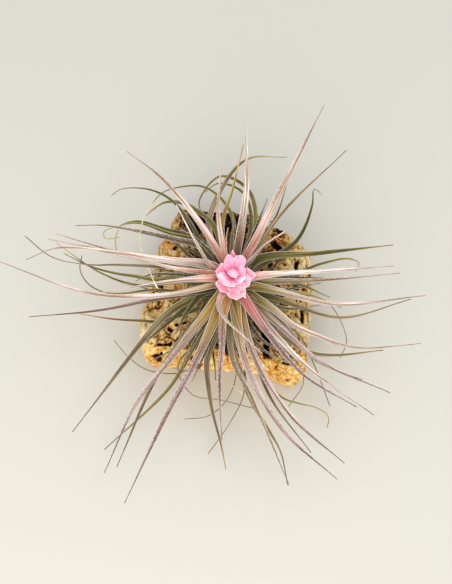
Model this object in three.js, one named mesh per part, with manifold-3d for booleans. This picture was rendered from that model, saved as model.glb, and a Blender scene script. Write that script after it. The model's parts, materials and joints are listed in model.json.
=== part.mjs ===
// An air plant in bloom, a hybrid of the recurvifolia and stricta kinds, resting on a piece of cork bark.
// Millimetres, +Z up. The bark lies on z = 0, and the front of the plant faces -Y.

import * as THREE from "three";
import { mergeVertices } from "three/addons/utils/BufferGeometryUtils.js";
import Module from "manifold-3d";

const wasm = await Module();
wasm.setup();

// Bark
const BARK_THICK = 28;
const BARK_CENTRE = { x: 0, y: -4 };
const BARK_SECTORS = 60;
const BARK_CUT_HEADING = { from: 216, to: 316 };
const BARK_RIM = [
  [42, 11], [41, 18], [36, 25], [26, 33], [18, 34], [15, 41], [-5, 43], [-17, 44], [-28, 45],
  [-32, 37], [-33, 31], [-38.5, 23], [-39, 13], [-46, -13], [-47, -28], [-45, -34.5], [-41, -38],
  [-22, -38.5], [2, -40], [16, -42], [28, -48.5], [33, -48.5], [37, -43], [39, -28], [41, -5],
];

// Rings of the bark from its underside up its sides and in over its top, where the height comes from barkTop
const BARK_RINGS = [
  { share: 0.9, height: 0 },
  { share: 0.97, height: 0 },
  { share: 1, height: 7 },
  { share: 1.01, height: 15 },
  { share: 0.99, height: 22 },
  { share: 0.93 },
  { share: 0.78 },
  { share: 0.6 },
  { share: 0.42 },
  { share: 0.22 },
];
const BARK_ROUGHNESS = 0.04;
const CHANCE = { step: 127.1, start: 311.7, stretch: 43758.5453 };
const BARK_PLATES = { across: 0.33, along: 0.24, slant: 0.08, bend: 0.12, sway: 1.4, rise: 1.6, sink: 0.8 };
const BARK_LUMPS = { across: 0.71, along: 0.63, startAcross: 1.3, startAlong: 0.4, rise: 0.9 };

// Stem, standing on the bark, in two lengths that meet at STEM_SPLIT
const STEM = { x: 0, y: -10 };
const STEM_FOOT = BARK_THICK + 0.3;
const STEM_SPLIT = 42;
const STEM_TOP = 54;
const STEM_SIDES = 14;
const SEAT_GAP = 0.3;
const SEAT_RADIUS = 9;
const SEAT_SLOPE = 7;

// Profiles of the stem's two lengths, as radius and height
const LOWER_CORE = [
  [0, STEM_FOOT], [5, STEM_FOOT], [8, 31.8], [9, 36],
  [8.2, STEM_SPLIT - SEAT_GAP], [0, STEM_SPLIT - SEAT_GAP],
];
const UPPER_CORE = [
  [0, STEM_SPLIT], [6, STEM_SPLIT], [7.4, 45.5], [6.2, 51], [3.8, STEM_TOP], [0, STEM_TOP],
];

// Heights on the stem between which each whorl's leaves are rooted
const ROOTS = {
  underLower: [31, 36], lower: [32, 40], clasping: [43.4, 44.2], underUpper: [43.2, 47], upper: [43.5, 51.5],
};

// Leaf blades
const BLADE = { thick: 0.9, tipThick: 0.6, gutter: 0.3, rootWidth: 1.1, tipWidth: 0.35, leastWidth: 0.5 };
const STATION_PITCH = 9;
const LEAST_STATIONS = 6;
const LEAF_SMOOTHING = 0.01;

// How much broader a leaf's base is, as a share of its width, and how soon it narrows towards its tip, where
// the lists below don't say otherwise
const SHEATH = 0.34;
const SHEATH_END = { from: 0.08, to: 0.38 };
const FADE = 0.68;

// Lower whorls, oldest first. Each route runs on from the stem to the leaf's tip, and width is past its base.
const LOWER_LEAVES = [
  {
    width: 2.2, fade: 0.45,
    route: [
      [-36, -25, 33], [-44.5, -24.2, 32], [-59.5, -22, 29], [-80.5, -16.2, 24],
    ],
  },
  {
    width: 1.6, fade: 0.4,
    route: [
      [-41, -8, 34], [-56, -8, 30], [-67, -5, 26], [-75, 0, 26], [-79, 7, 28], [-78, 14, 30],
    ],
  },
  { width: 1.8, route: [[24, -26, 33], [33, -31, 32], [42, -44, 20], [50, -61, 8]] },
  { width: 1.2, route: [[24, -36, 33], [36, -52, 24], [29, -62, 10]] },
  { width: 1.2, route: [[32, -10, 34], [50, -12, 26], [59, -29, 18], [56, -36, 12]] },
  { width: 1.2, route: [[-14, -36, 34], [-22, -48, 26], [-42, -44, 14], [-53, -36, 12], [-61, -27, 14]] },
  { width: 1.4, route: [[-17, -36, 34], [-27, -46, 26], [-20, -57, 14], [-6, -58, 9], [12, -62, 7]] },
  { width: 1.2, route: [[0, -36, 34], [2, -51, 26], [-3, -61, 16], [-12, -67, 10], [-24, -68, 8]] },
  { width: 1.2, route: [[5, -38, 36], [6, -60, 26], [-1, -72, 14], [-12, -86, 7]] },
  {
    width: 2.4,
    route: [
      [15, -51, 33], [24, -61.5, 24], [34, -62.5, 16], [42, -62.3, 10], [48, -65, 8],
      [49.5, -67.5, 6], [48.5, -71.5, 5],
    ],
  },
  {
    width: 5.0, sheath: -0.1, fade: 0.8,
    route: [
      [-14, -13, 39], [-24.5, -17.5, 38], [-31, -22, 38], [-37.5, -28.5, 37], [-44.5, -36, 34],
      [-80, -77, 14],
    ],
  },
  { width: 3.4, route: [[-16, -34, 36], [-30, -58, 30], [-64, -85, 10]] },
  { width: 4.2, route: [[-20, -32, 38], [-36, -53, 34], [-57, -95, 14]] },
  {
    width: 4.2, fade: 0.6,
    route: [
      [-10.5, -39.5, 35], [-12.5, -47, 32], [-11.5, -57, 25], [-10, -66, 18], [-5.5, -82, 11],
      [-3, -95, 10],
    ],
  },
  {
    width: 3.6, sheath: 0, fade: 0.6,
    route: [
      [0, -40, 37], [3, -50, 34], [10.3, -68, 30], [18, -80.5, 27], [23.7, -90.5, 24],
      [27, -106, 20],
    ],
  },
  { width: 3.2, route: [[11, -46, 37], [19, -66, 33], [39, -89, 18]] },
  { width: 3.3, fade: 0.55, route: [[22, -32, 36], [39, -41, 31], [51.5, -41.2, 28], [77, -36, 22]] },
  { width: 4.4, route: [[20, -6, 38], [32, -6, 38], [50, -12, 34]] },
  { width: 3.2, route: [[20, -11, 37], [36, -11, 37], [56, -17, 32]] },
  {
    width: 2.6, fade: 0.45,
    route: [
      [20, -4, 36], [34, 1, 36], [46, 6, 36], [60, 9, 36], [66, 8, 32], [64, 5, 29],
    ],
  },
  {
    width: 3.4, sheath: 0, fade: 0.5,
    route: [
      [14, 3, 38], [34, 19, 38], [42, 38, 40], [43, 46, 44], [47, 43, 43],
    ],
  },
  { width: 4.6, route: [[12, 4, 43], [44, 8, 44], [83, 15, 40]] },
  { width: 2.6, route: [[12, 8, 44], [25, 29, 46], [61, 71, 41]] },
  { width: 2.8, route: [[11, 10, 42], [23, 31, 41], [29, 51, 40]] },
  { width: 3.3, route: [[-5, 21, 50], [0, 38, 55], [6, 64, 58]] },
  { width: 4.2, route: [[-12, 22, 43], [-6, 42, 48], [8, 60, 50], [29, 65, 44]] },
  {
    width: 2.8, sheath: 0, fade: 0.4,
    route: [
      [12, 22, 44], [9, 42, 48], [-6, 52, 46], [-17, 41, 38], [-13, 32, 33],
    ],
  },
  { width: 2.6, sheath: 0, fade: 0.4, route: [[10, 25, 44], [6, 42, 46], [-7, 49, 44], [-14, 46, 40]] },
  {
    width: 2.5, sheath: 0, fade: 0.65,
    route: [
      [0, 13, 44], [1, 25, 46], [-5, 36, 50], [-15, 42, 53], [-28, 42, 52], [-36, 41, 48],
      [-43, 37, 41],
    ],
  },
  {
    width: 3.3, sheath: 0, fade: 0.35,
    route: [
      [-9, 23, 44], [-18.5, 32, 46], [-27, 37, 45], [-35, 38.5, 42], [-42, 37, 36], [-45, 36.5, 32],
    ],
  },
  {
    width: 2.6, sheath: 0, fade: 0.6,
    route: [
      [-16, 15, 43], [-22.5, 25.5, 48], [-31, 34.5, 52], [-43, 42.5, 49], [-58, 46, 43],
      [-63, 44, 40],
    ],
  },
  {
    width: 4.8, sheath: 0, fade: 0.35,
    route: [
      [-18, 16.5, 42], [-33, 20, 45], [-46, 24, 47], [-53, 26, 43], [-58, 26.5, 39],
    ],
  },
  {
    width: 3.3, sheath: -0.1, fade: 1.3,
    route: [
      [-20, -0.5, 43], [-39, 0.5, 44], [-59, 2, 43], [-72, 2.5, 42], [-92, 8, 40], [-106, 18, 44],
    ],
  },
  { width: 2.6, route: [[-24, -5, 38], [-46, -7, 37], [-67, 0.8, 36], [-90, 15, 42]] },
  {
    width: 3.2, fade: 0.6,
    route: [
      [-26, -3.5, 39], [-39, -4, 38], [-50, -2, 38], [-59, -0.5, 38], [-72, 2.5, 40], [-86, 10, 40],
    ],
  },
  { width: 3.0, route: [[-36, -16, 41], [-66, -21, 38], [-103, -21, 30]] },
  { width: 3.0, route: [[24, -17, 41], [54, -25, 38], [91, -13, 34]] },
  {
    width: 4.2, sheath: 0, fade: 0.5,
    route: [
      [-14, -13, 41], [-20, -19.5, 41], [-24, -25.5, 40], [-28, -33, 36],
    ],
  },
  { width: 3.4, sheath: 0, route: [[12, -17, 42], [22, -21, 41], [32, -31, 36]] },
  { width: 3.0, route: [[16, -3, 41], [26, -1, 40], [35, -2, 37]] },
  {
    width: 3.3, sheath: 0, fade: 0.5,
    route: [
      [-20, 6, 41], [-27, 12.5, 43], [-31, 15, 44.5], [-35, 16, 46], [-40, 17, 47],
    ],
  },
  { width: 1.8, fade: 0.4, route: [[-18, -3.5, 40], [-30.5, -0.5, 40], [-38.5, 2, 38], [-42, 0, 35]] },
];

// Upper whorls, oldest first
const UPPER_LEAVES = [
  { width: 3.4, route: [[0, -50, 46], [9, -67, 40], [28, -105, 16]] },
  {
    width: 4.8, sheath: 0.15, fade: 0.95,
    route: [
      [-15, 7, 52], [-28, 9.5, 56], [-41, 13, 56], [-54, 17, 54], [-66, 21, 50], [-80, 23, 46],
    ],
  },
  { width: 3.2, route: [[-24, -2, 51], [-56, 3, 54], [-93, 14, 48]] },
  { width: 2.6, route: [[-24, -0.5, 50], [-56, 5, 51], [-89, 16, 50]] },
  {
    width: 3.8, fade: 0.9,
    route: [
      [20.5, -27, 51], [30, -35, 51], [43.5, -41, 50], [53, -44, 48], [63.5, -44.5, 45],
      [77, -42, 41], [94, -38.5, 37],
    ],
  },
  { width: 3.4, route: [[24, -36, 50], [43, -52, 46], [78, -62, 30]] },
  { width: 2.6, route: [[26, -34, 49], [35.5, -46.5, 46], [43.5, -52, 43], [64, -57, 35]] },
  { width: 3.6, route: [[23, -43, 52], [40, -59, 48], [69, -75, 34]] },
  { width: 3.8, route: [[21, -18, 54], [49, -25, 54], [97, -16, 45]] },
  { width: 3.4, route: [[20, -12, 52], [44, -12, 54], [84, -6, 50]] },
  {
    width: 3.4, sheath: -0.1,
    route: [
      [-10.5, -15, 53], [-19, -17.5, 53.5], [-27.5, -20.2, 55], [-48, -22.5, 57], [-70, -21, 58],
      [-116, -4, 60],
    ],
  },
  { width: 4.4, route: [[-28, -50, 50], [-46, -72, 42], [-62, -101, 24]] },
  { width: 4.6, route: [[-17, -53, 52], [-32, -81, 46], [-52, -115, 20]] },
  { width: 4.4, route: [[11, -52, 50], [28, -78, 42], [55, -95, 20]] },
  { width: 4.4, route: [[6, -53, 50], [23, -84, 42], [51, -103, 20]] },
  {
    width: 4.4, sheath: 0.1, fade: 0.75,
    route: [
      [-4.5, -33, 53], [-5, -46, 50.5], [-6, -57.5, 45], [-6, -68.5, 37.5], [-5, -86, 28],
    ],
  },
  { width: 4.1, route: [[16, -39, 54], [34, -61, 52], [60, -73, 40]] },
  {
    width: 4.3, sheath: 0.15, fade: 0.9,
    route: [
      [-11.5, -5.5, 57], [-27, -6, 63], [-42, -5.5, 66], [-56, -3, 66.5], [-86, 3, 60],
      [-104, 4, 45],
    ],
  },
  { width: 3.6, route: [[20, -11, 58], [44, -10, 60], [80, -5, 56]] },
  {
    width: 4.6, sheath: 0.1, fade: 1,
    route: [
      [-10.5, -13, 57], [-27.5, -14.5, 58], [-44.5, -16, 56], [-64, -16.5, 50],
    ],
  },
  { width: 3.2, sheath: -0.15, route: [[10, 4, 60], [20, 23, 66], [36.8, 61, 66]] },
  {
    width: 4.0, sheath: -0.15,
    route: [
      [-11, 7, 62], [-25.4, 24.3, 71.5], [-38, 38.5, 72.5], [-53, 51.8, 71],
    ],
  },
  { width: 5.0, sheath: -0.2, route: [[3, 4, 59], [7, 26, 75], [7, 62, 80]] },
  { width: 4.6, sheath: -0.15, route: [[11, 5, 61], [23, 25, 74], [47, 78.5, 72]] },
  { width: 3.4, sheath: -0.2, route: [[-4, 1, 58], [-7, 16, 73], [-5, 38.5, 85]] },
  { width: 2.4, route: [[8, -4, 57], [16, 3, 63], [26, 9, 66]] },
  { width: 2.6, route: [[-10.5, -6, 56.5], [-17, 0, 68], [-27, 14, 84]] },
  { width: 3.2, route: [[-6.6, -27, 59], [-3.8, -38, 66], [6.4, -48, 66], [14, -55, 64]] },
  { width: 2.2, route: [[-3, 1, 57], [-3, 5, 66], [-2, 7, 74]] },
  {
    width: 3.2, sheath: 0.1, fade: 0.8,
    route: [
      [-10.5, -10, 57], [-27.5, -10, 63], [-42.5, -6.5, 64], [-57, -1.5, 61],
    ],
  },
];

// Shorter leaves that stand under the broader ones, turned a little to one side
const UNDER_LOWER = { broad: 3.4, share: 0.55, turn: -8, level: 37, drop: 1, least: 32, slim: 0.8 };
const UNDER_UPPER = { broad: 3.4, share: 0.46, turn: 5, level: 49, drop: 2.5, least: 41, slim: 0.8 };

// Short leaves that clasp the stem, one over the other, round its sides and back. Steps are how far out from
// the stem's axis and how high each goes, and every other one stands a little farther out and higher.
const CLASPING = {
  count: 6, first: -12, last: 192, width: 7.4, fade: 0.25, steps: [[8.6, 43.8], [9.6, 48], [12, 51.8]],
  overOut: 0.8, overRise: 1.6,
};

// Bract head: top is the height of each bract's tip, point is how pointed it is, and nod is how far it leans
// inwards
const HEAD = { x: 0.8, y: -12 };
const HEAD_FOOT = STEM_TOP + SEAT_GAP;
const HEAD_SIDES = 12;
const HEAD_CORE = [[0, HEAD_FOOT], [2.6, HEAD_FOOT], [4.2, 57.2], [2.8, 59.4], [1.8, 61.8], [0, 61.8]];
const HEAD_SMOOTHING = 0.06;
const BRACT = {
  thick: 0.8, stations: 6, strips: 4, cup: 0.3, lowest: 56, highest: 61.5, outset: 2.4,
  rootShare: 0.4, bellyReach: 0.8, bellyRise: 0.35, bellyNod: 0.14,
  footWidth: 0.76, swollenBy: 0.5, leastWidth: 1.2,
  bluntFrom: 0.66, bluntPower: 5, pointFrom: 0.45, pointPower: 1.5,
};
const BRACTS = [
  { heading: 276, reach: 11.8, top: 56.8, width: 9.4, point: 0.25 },
  { heading: 298, reach: 12.1, top: 56.8, width: 5.4, point: 1 },
  { heading: 93, reach: 10.8, top: 66, width: 5.2, point: 1 },
  { heading: 231, reach: 10.5, top: 58.8, width: 8.8 },
  { heading: 358, reach: 10.7, top: 61, width: 8.6, point: 0.8 },
  { heading: 173, reach: 8.8, top: 63, width: 9.4 },
  { heading: 281, reach: 9.6, top: 60, width: 8.8 },
  { heading: 322, reach: 9.4, top: 59.6, width: 8.4, point: 0.3 },
  { heading: 109, reach: 8.9, top: 66, width: 7, point: 0.75 },
  { heading: 63, reach: 8.9, top: 66, width: 6.2 },
  { heading: 229, reach: 7.6, top: 61.6, width: 10.6 },
  { heading: 304, reach: 6.2, top: 61.4, width: 7.4 },
  { heading: 18, reach: 6.2, top: 62.4, width: 5.8 },
  { heading: 60, reach: 3.4, top: 64.2, width: 5.4, nod: 6.4 },
];

// Corners closer than this are one corner
const SAME_CORNER = 1e-4;

const COLOURS = { bark: 0x9a7040, lowerLeaves: 0x7d8455, upperLeaves: 0xc2a5a0, bracts: 0xf7a0bd };
const ROUGHNESSES = { bark: 0.95, leaves: 0.7, bracts: 0.6 };

const radians = THREE.MathUtils.degToRad;

/** A repeatable stand-in for chance: a value from 0 to 1 for each whole number. */
function chance(seed) {
  const wave = Math.sin(seed * CHANCE.step + CHANCE.start) * CHANCE.stretch;
  return wave - Math.floor(wave);
}

/** A closed solid from a list of points and triangles. */
function solidOf(points, triangles) {
  const vertProperties = new Float32Array(points.flatMap((point) => [point.x, point.y, point.z]));
  return new wasm.Manifold(new wasm.Mesh({
    numProp: 3,
    vertProperties,
    triVerts: new Uint32Array(triangles.flat()),
  }));
}

/** A closed solid from a three.js geometry, with its shared corners merged. */
function solidOfGeometry(geometry) {
  geometry.deleteAttribute("normal");
  geometry.deleteAttribute("uv");
  const merged = mergeVertices(geometry, SAME_CORNER);
  return new wasm.Manifold(new wasm.Mesh({
    numProp: 3,
    vertProperties: new Float32Array(merged.attributes.position.array),
    triVerts: new Uint32Array(merged.index.array),
  }));
}

/** A named mesh from a solid. */
function meshOf(name, solid, colour, roughness) {
  const { vertProperties, triVerts } = solid.getMesh();
  const geometry = new THREE.BufferGeometry();
  geometry.setAttribute("position", new THREE.BufferAttribute(vertProperties, 3));
  geometry.setIndex(new THREE.BufferAttribute(triVerts, 1));
  geometry.computeVertexNormals();
  const material = new THREE.MeshStandardMaterial({ color: colour, roughness, metalness: 0 });
  const mesh = new THREE.Mesh(geometry, material);
  mesh.name = name;
  return mesh;
}

/** One solid from many that touch or cross, with any pocket that they close off filled. */
function joined(solids, smoothing = LEAF_SMOOTHING) {
  const pieces = wasm.Manifold.union(solids).simplify(smoothing).decompose();
  return wasm.Manifold.compose(pieces.filter((piece) => piece.volume() > 0));
}

/** A solid of revolution on the vertical axis through a place, from [radius, height] steps. */
function turned(profile, place, sides) {
  const outline = profile.map(([radius, height]) => new THREE.Vector2(radius, height));
  const geometry = new THREE.LatheGeometry(outline, sides);
  geometry.rotateX(Math.PI / 2);
  geometry.translate(place.x, place.y, 0);
  return solidOfGeometry(geometry);
}

/** Points and upward directions along a leaf, spaced evenly from its root to its tip. */
function leafSpine(route, rootHeight) {
  const root = new THREE.Vector3(STEM.x, STEM.y, rootHeight);
  const stops = [root, ...route.map((stop) => new THREE.Vector3(...stop))];
  const curve = new THREE.CatmullRomCurve3(stops, false, "centripetal");
  const steps = Math.max(LEAST_STATIONS, Math.round(curve.getLength() / STATION_PITCH));
  const spine = [];
  let up = new THREE.Vector3(0, 0, 1);
  for (let step = 0; step <= steps; step += 1) {
    const along = curve.getTangentAt(step / steps);
    up = up.clone().addScaledVector(along, -up.dot(along)).normalize();
    spine.push({
      at: step / steps,
      point: curve.getPointAt(step / steps),
      up,
      side: new THREE.Vector3().crossVectors(along, up),
    });
  }
  return spine;
}

/** How broad a blade is along its length, as a share of its breadth past its sheathing base. */
function bladeTaper(at, sheath, fade) {
  const { rootWidth, tipWidth } = BLADE;
  const base = sheath * (1 - THREE.MathUtils.smoothstep(at, SHEATH_END.from, SHEATH_END.to));
  const body = Math.min(1, Math.pow(1 - at, fade) * rootWidth);
  return body * (1 - tipWidth * at * at) + base;
}

/** A leaf: a channelled blade with thin margins, closed at the root and ending in a point. */
function leaf({ width, route, sheath = SHEATH, fade = FADE }, rootHeight) {
  const spine = leafSpine(route, rootHeight);
  const points = [];
  const triangles = [];
  for (const { at, point, up, side } of spine.slice(0, -1)) {
    const half = Math.max(BLADE.leastWidth, width * bladeTaper(at, sheath, fade)) / 2;
    const thick = THREE.MathUtils.lerp(BLADE.thick, BLADE.tipThick, at);
    const rise = half * 2 * BLADE.gutter;
    points.push(
      point.clone().addScaledVector(side, -half).addScaledVector(up, rise),
      point.clone().addScaledVector(up, thick / 2),
      point.clone().addScaledVector(side, half).addScaledVector(up, rise),
      point.clone().addScaledVector(up, -thick / 2),
    );
  }
  const last = spine.length - 2;
  for (let step = 0; step < last; step += 1) {
    for (let corner = 0; corner < 4; corner += 1) {
      const a = step * 4 + corner;
      const b = step * 4 + ((corner + 1) % 4);
      triangles.push(corner % 2 === 0 ? [a, b, b + 4] : [a, b, a + 4]);
      triangles.push(corner % 2 === 0 ? [a, b + 4, a + 4] : [b, b + 4, a + 4]);
    }
  }
  const tip = points.length;
  points.push(spine.at(-1).point);
  for (let corner = 0; corner < 4; corner += 1) {
    triangles.push([last * 4 + corner, last * 4 + ((corner + 1) % 4), tip]);
  }
  triangles.push([3, 1, 0], [3, 2, 1]);
  return solidOf(points, triangles);
}

/** The shorter leaves under the broader leaves of a whorl. */
function underLeaves(leaves, { broad, share, turn, level, drop, least, slim }) {
  return leaves.filter(({ width }) => width >= broad).map(({ width, route, sheath }) => ({
    width: width * slim,
    sheath,
    route: route.map(([x, y, z]) => {
      const out = new THREE.Vector2(x - STEM.x, y - STEM.y).multiplyScalar(share);
      out.rotateAround(new THREE.Vector2(), radians(turn));
      const height = Math.max(least, THREE.MathUtils.lerp(level, z, share) - drop);
      return [STEM.x + out.x, STEM.y + out.y, height];
    }),
  }));
}

/** The short leaves that clasp the stem, from the first heading to the last. */
function claspingLeaves({ count, first, last, width, fade, steps, overOut, overRise }) {
  return Array.from({ length: count }, (_, index) => {
    const heading = radians(THREE.MathUtils.lerp(first, last, index / (count - 1)));
    const over = index % 2;
    const out = new THREE.Vector2(Math.cos(heading), Math.sin(heading));
    const route = steps.map(([reach, height]) => {
      const place = out.clone().multiplyScalar(reach + over * overOut).add(STEM);
      return [place.x, place.y, height + over * overRise];
    });
    return { width, fade, sheath: 0, route };
  });
}

/** All the leaves of one whorl, each leaving the stem a little higher than the one before. */
function whorl(leaves, lowest, highest) {
  return leaves.map((each, index) => {
    const rootHeight = THREE.MathUtils.lerp(lowest, highest, index / (leaves.length - 1));
    return leaf(each, rootHeight);
  });
}

/** Distance from the bark's centre to its rim at a heading, in degrees. */
function barkRim(heading) {
  const ray = new THREE.Vector2(Math.cos(radians(heading)), Math.sin(radians(heading)));
  const rim = BARK_RIM.map(([x, y]) => new THREE.Vector2(x - BARK_CENTRE.x, y - BARK_CENTRE.y));
  for (let index = 0; index < rim.length; index += 1) {
    const a = rim[index];
    const b = rim[(index + 1) % rim.length];
    const edge = b.clone().sub(a);
    const turn = ray.cross(edge);
    const along = a.cross(ray) / turn;
    const reach = a.cross(edge) / turn;
    if (reach > 0 && along >= 0 && along <= 1) {
      return reach;
    }
  }
  return BARK_RIM[0][0];
}

/** Height of the bark's top at a place: corky plates with furrows between them, flat under the stem. */
function barkTop(x, y) {
  const { across, along, slant, bend, sway, rise, sink } = BARK_PLATES;
  const plates = Math.sin(x * across + Math.sin(y * bend) * sway) * Math.cos(y * along + x * slant);
  const lumpsAcross = Math.sin(x * BARK_LUMPS.across + BARK_LUMPS.startAcross);
  const lumpsAlong = Math.sin(y * BARK_LUMPS.along + BARK_LUMPS.startAlong);
  const away = Math.hypot(x - STEM.x, y - STEM.y);
  const clear = THREE.MathUtils.smoothstep(away, SEAT_RADIUS, SEAT_RADIUS + SEAT_SLOPE);
  return BARK_THICK + clear * (plates * rise + lumpsAcross * lumpsAlong * BARK_LUMPS.rise - sink);
}

/** The bark: a thick slab with a rough top, bulging sides, a flat underside and a cut front. */
function bark() {
  const points = [];
  const triangles = [];
  BARK_RINGS.forEach(({ share, height }, row) => {
    for (let sector = 0; sector < BARK_SECTORS; sector += 1) {
      const heading = (sector / BARK_SECTORS) * 360;
      const cut = heading > BARK_CUT_HEADING.from && heading < BARK_CUT_HEADING.to;
      const onSide = height > 0 && !cut;
      const rough = onSide ? (chance(sector * BARK_RINGS.length + row) - 0.5) * BARK_ROUGHNESS : 0;
      const reach = barkRim(heading) * (share + rough);
      const x = BARK_CENTRE.x + reach * Math.cos(radians(heading));
      const y = BARK_CENTRE.y + reach * Math.sin(radians(heading));
      points.push(new THREE.Vector3(x, y, height ?? barkTop(x, y)));
    }
  });
  for (let row = 0; row < BARK_RINGS.length - 1; row += 1) {
    for (let sector = 0; sector < BARK_SECTORS; sector += 1) {
      const next = (sector + 1) % BARK_SECTORS;
      const a = row * BARK_SECTORS + sector;
      const b = row * BARK_SECTORS + next;
      triangles.push([a, b, b + BARK_SECTORS], [a, b + BARK_SECTORS, a + BARK_SECTORS]);
    }
  }
  const foot = points.length;
  points.push(new THREE.Vector3(BARK_CENTRE.x, BARK_CENTRE.y, 0));
  points.push(new THREE.Vector3(BARK_CENTRE.x, BARK_CENTRE.y, barkTop(BARK_CENTRE.x, BARK_CENTRE.y)));
  const top = (BARK_RINGS.length - 1) * BARK_SECTORS;
  for (let sector = 0; sector < BARK_SECTORS; sector += 1) {
    const next = (sector + 1) % BARK_SECTORS;
    triangles.push([next, sector, foot], [top + sector, top + next, foot + 1]);
  }
  return solidOf(points, triangles);
}

/** The lower length of the stem, with its leaves. */
function lowerLeaves() {
  const core = turned(LOWER_CORE, STEM, STEM_SIDES);
  const under = whorl(underLeaves(LOWER_LEAVES, UNDER_LOWER), ...ROOTS.underLower);
  return joined([core, ...under, ...whorl(LOWER_LEAVES, ...ROOTS.lower)]);
}

/** The upper length of the stem, with its leaves. */
function upperLeaves() {
  const core = turned(UPPER_CORE, STEM, STEM_SIDES);
  const clasping = whorl(claspingLeaves(CLASPING), ...ROOTS.clasping);
  const under = whorl(underLeaves(UPPER_LEAVES, UNDER_UPPER), ...ROOTS.underUpper);
  return joined([core, ...clasping, ...under, ...whorl(UPPER_LEAVES, ...ROOTS.upper)]);
}

/** How broad a bract is along its length, as a share of its greatest width. */
function bractTaper(along, point) {
  const { footWidth, swollenBy, bluntFrom, bluntPower, pointFrom, pointPower } = BRACT;
  const swell = THREE.MathUtils.lerp(footWidth, 1, THREE.MathUtils.smoothstep(along, 0, swollenBy));
  const blunt = Math.sqrt(1 - Math.max(0, (along - bluntFrom) / (1 - bluntFrom)) ** bluntPower);
  const pointed = 1 - Math.max(0, (along - pointFrom) / (1 - pointFrom)) ** pointPower;
  return swell * THREE.MathUtils.lerp(blunt, pointed, point);
}

/** A bract: a broad cupped blade that curves out and up from the core to a blunt or pointed tip. */
function bract({ heading, reach, top, width, point = 0, nod = 0 }, foot) {
  const { stations, strips, cup, thick, leastWidth } = BRACT;
  const { outset, rootShare, bellyReach, bellyRise, bellyNod } = BRACT;
  const out = new THREE.Vector3(Math.cos(radians(heading)), Math.sin(radians(heading)), 0);
  const side = new THREE.Vector3(-out.y, out.x, 0);
  const at = (distance, height) => new THREE.Vector3(HEAD.x, HEAD.y, height).addScaledVector(out, distance);
  const rib = new THREE.QuadraticBezierCurve3(
    at(Math.min(outset, reach * rootShare), foot),
    at(reach * bellyReach, THREE.MathUtils.lerp(foot, top, bellyRise + nod * bellyNod)),
    at(reach - nod, top),
  );
  const points = [];
  for (const face of [0.5, -0.5]) {
    for (let row = 0; row < stations; row += 1) {
      const along = row / (stations - 1);
      const inward = new THREE.Vector3().crossVectors(side, rib.getTangent(along)).negate();
      const half = Math.max(leastWidth, width * bractTaper(along, point)) / 2;
      for (let strip = 0; strip <= strips; strip += 1) {
        const across = (strip / strips) * 2 - 1;
        const point = rib.getPoint(along).addScaledVector(side, half * across);
        points.push(point.addScaledVector(inward, half * cup * across * across + thick * face));
      }
    }
  }
  const triangles = [];
  const columns = strips + 1;
  const sheet = stations * columns;
  for (let row = 0; row < stations - 1; row += 1) {
    for (let strip = 0; strip < strips; strip += 1) {
      const a = row * columns + strip;
      triangles.push([a, a + columns + 1, a + 1], [a, a + columns, a + columns + 1]);
      triangles.push([sheet + a, sheet + a + 1, sheet + a + columns + 1]);
      triangles.push([sheet + a, sheet + a + columns + 1, sheet + a + columns]);
    }
  }
  for (const [a, b] of borderOf(stations, columns)) {
    triangles.push([a, b, sheet + a], [b, sheet + b, sheet + a]);
  }
  return solidOf(points, triangles);
}

/** The pairs of neighbouring corners round the edge of a sheet of rows and columns. */
function borderOf(rows, columns) {
  const last = (rows - 1) * columns;
  const round = [];
  for (let column = 0; column < columns - 1; column += 1) {
    round.push(column);
  }
  for (let row = 0; row < rows - 1; row += 1) {
    round.push(row * columns + columns - 1);
  }
  for (let column = columns - 1; column > 0; column -= 1) {
    round.push(last + column);
  }
  for (let row = rows - 1; row > 0; row -= 1) {
    round.push(row * columns);
  }
  return round.map((corner, index) => [corner, round[(index + 1) % round.length]]);
}

/** The flower head: bracts in layers round a small core on its stalk, each foot above the last. */
function bractHead() {
  const core = turned(HEAD_CORE, HEAD, HEAD_SIDES);
  const bracts = BRACTS.map((each, index) => (
    bract(each, THREE.MathUtils.lerp(BRACT.lowest, BRACT.highest, index / (BRACTS.length - 1)))
  ));
  return joined([core, ...bracts], HEAD_SMOOTHING);
}

const plant = new THREE.Group();
plant.add(
  meshOf("cork_bark", bark(), COLOURS.bark, ROUGHNESSES.bark),
  meshOf("lower_leaves", lowerLeaves(), COLOURS.lowerLeaves, ROUGHNESSES.leaves),
  meshOf("upper_leaves", upperLeaves(), COLOURS.upperLeaves, ROUGHNESSES.leaves),
  meshOf("bract_head", bractHead(), COLOURS.bracts, ROUGHNESSES.bracts),
);

export default plant;
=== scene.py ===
"""Dresses an air plant in bloom on its piece of cork bark.

Blender works in metres, +Z up. The bark lies on z = 0, and the front of the plant faces -Y. Sizes of the
plant and of the bark are given in millimetres, and those of the studio in metres. The lists of leaves and
bracts repeat the routes that the solids follow.
"""

from __future__ import annotations

import json
import logging
import math
from collections.abc import Callable, Iterable, Sequence
from dataclasses import dataclass
from enum import Enum

import bmesh
import bpy
import numpy as np
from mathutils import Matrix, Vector, noise

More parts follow.
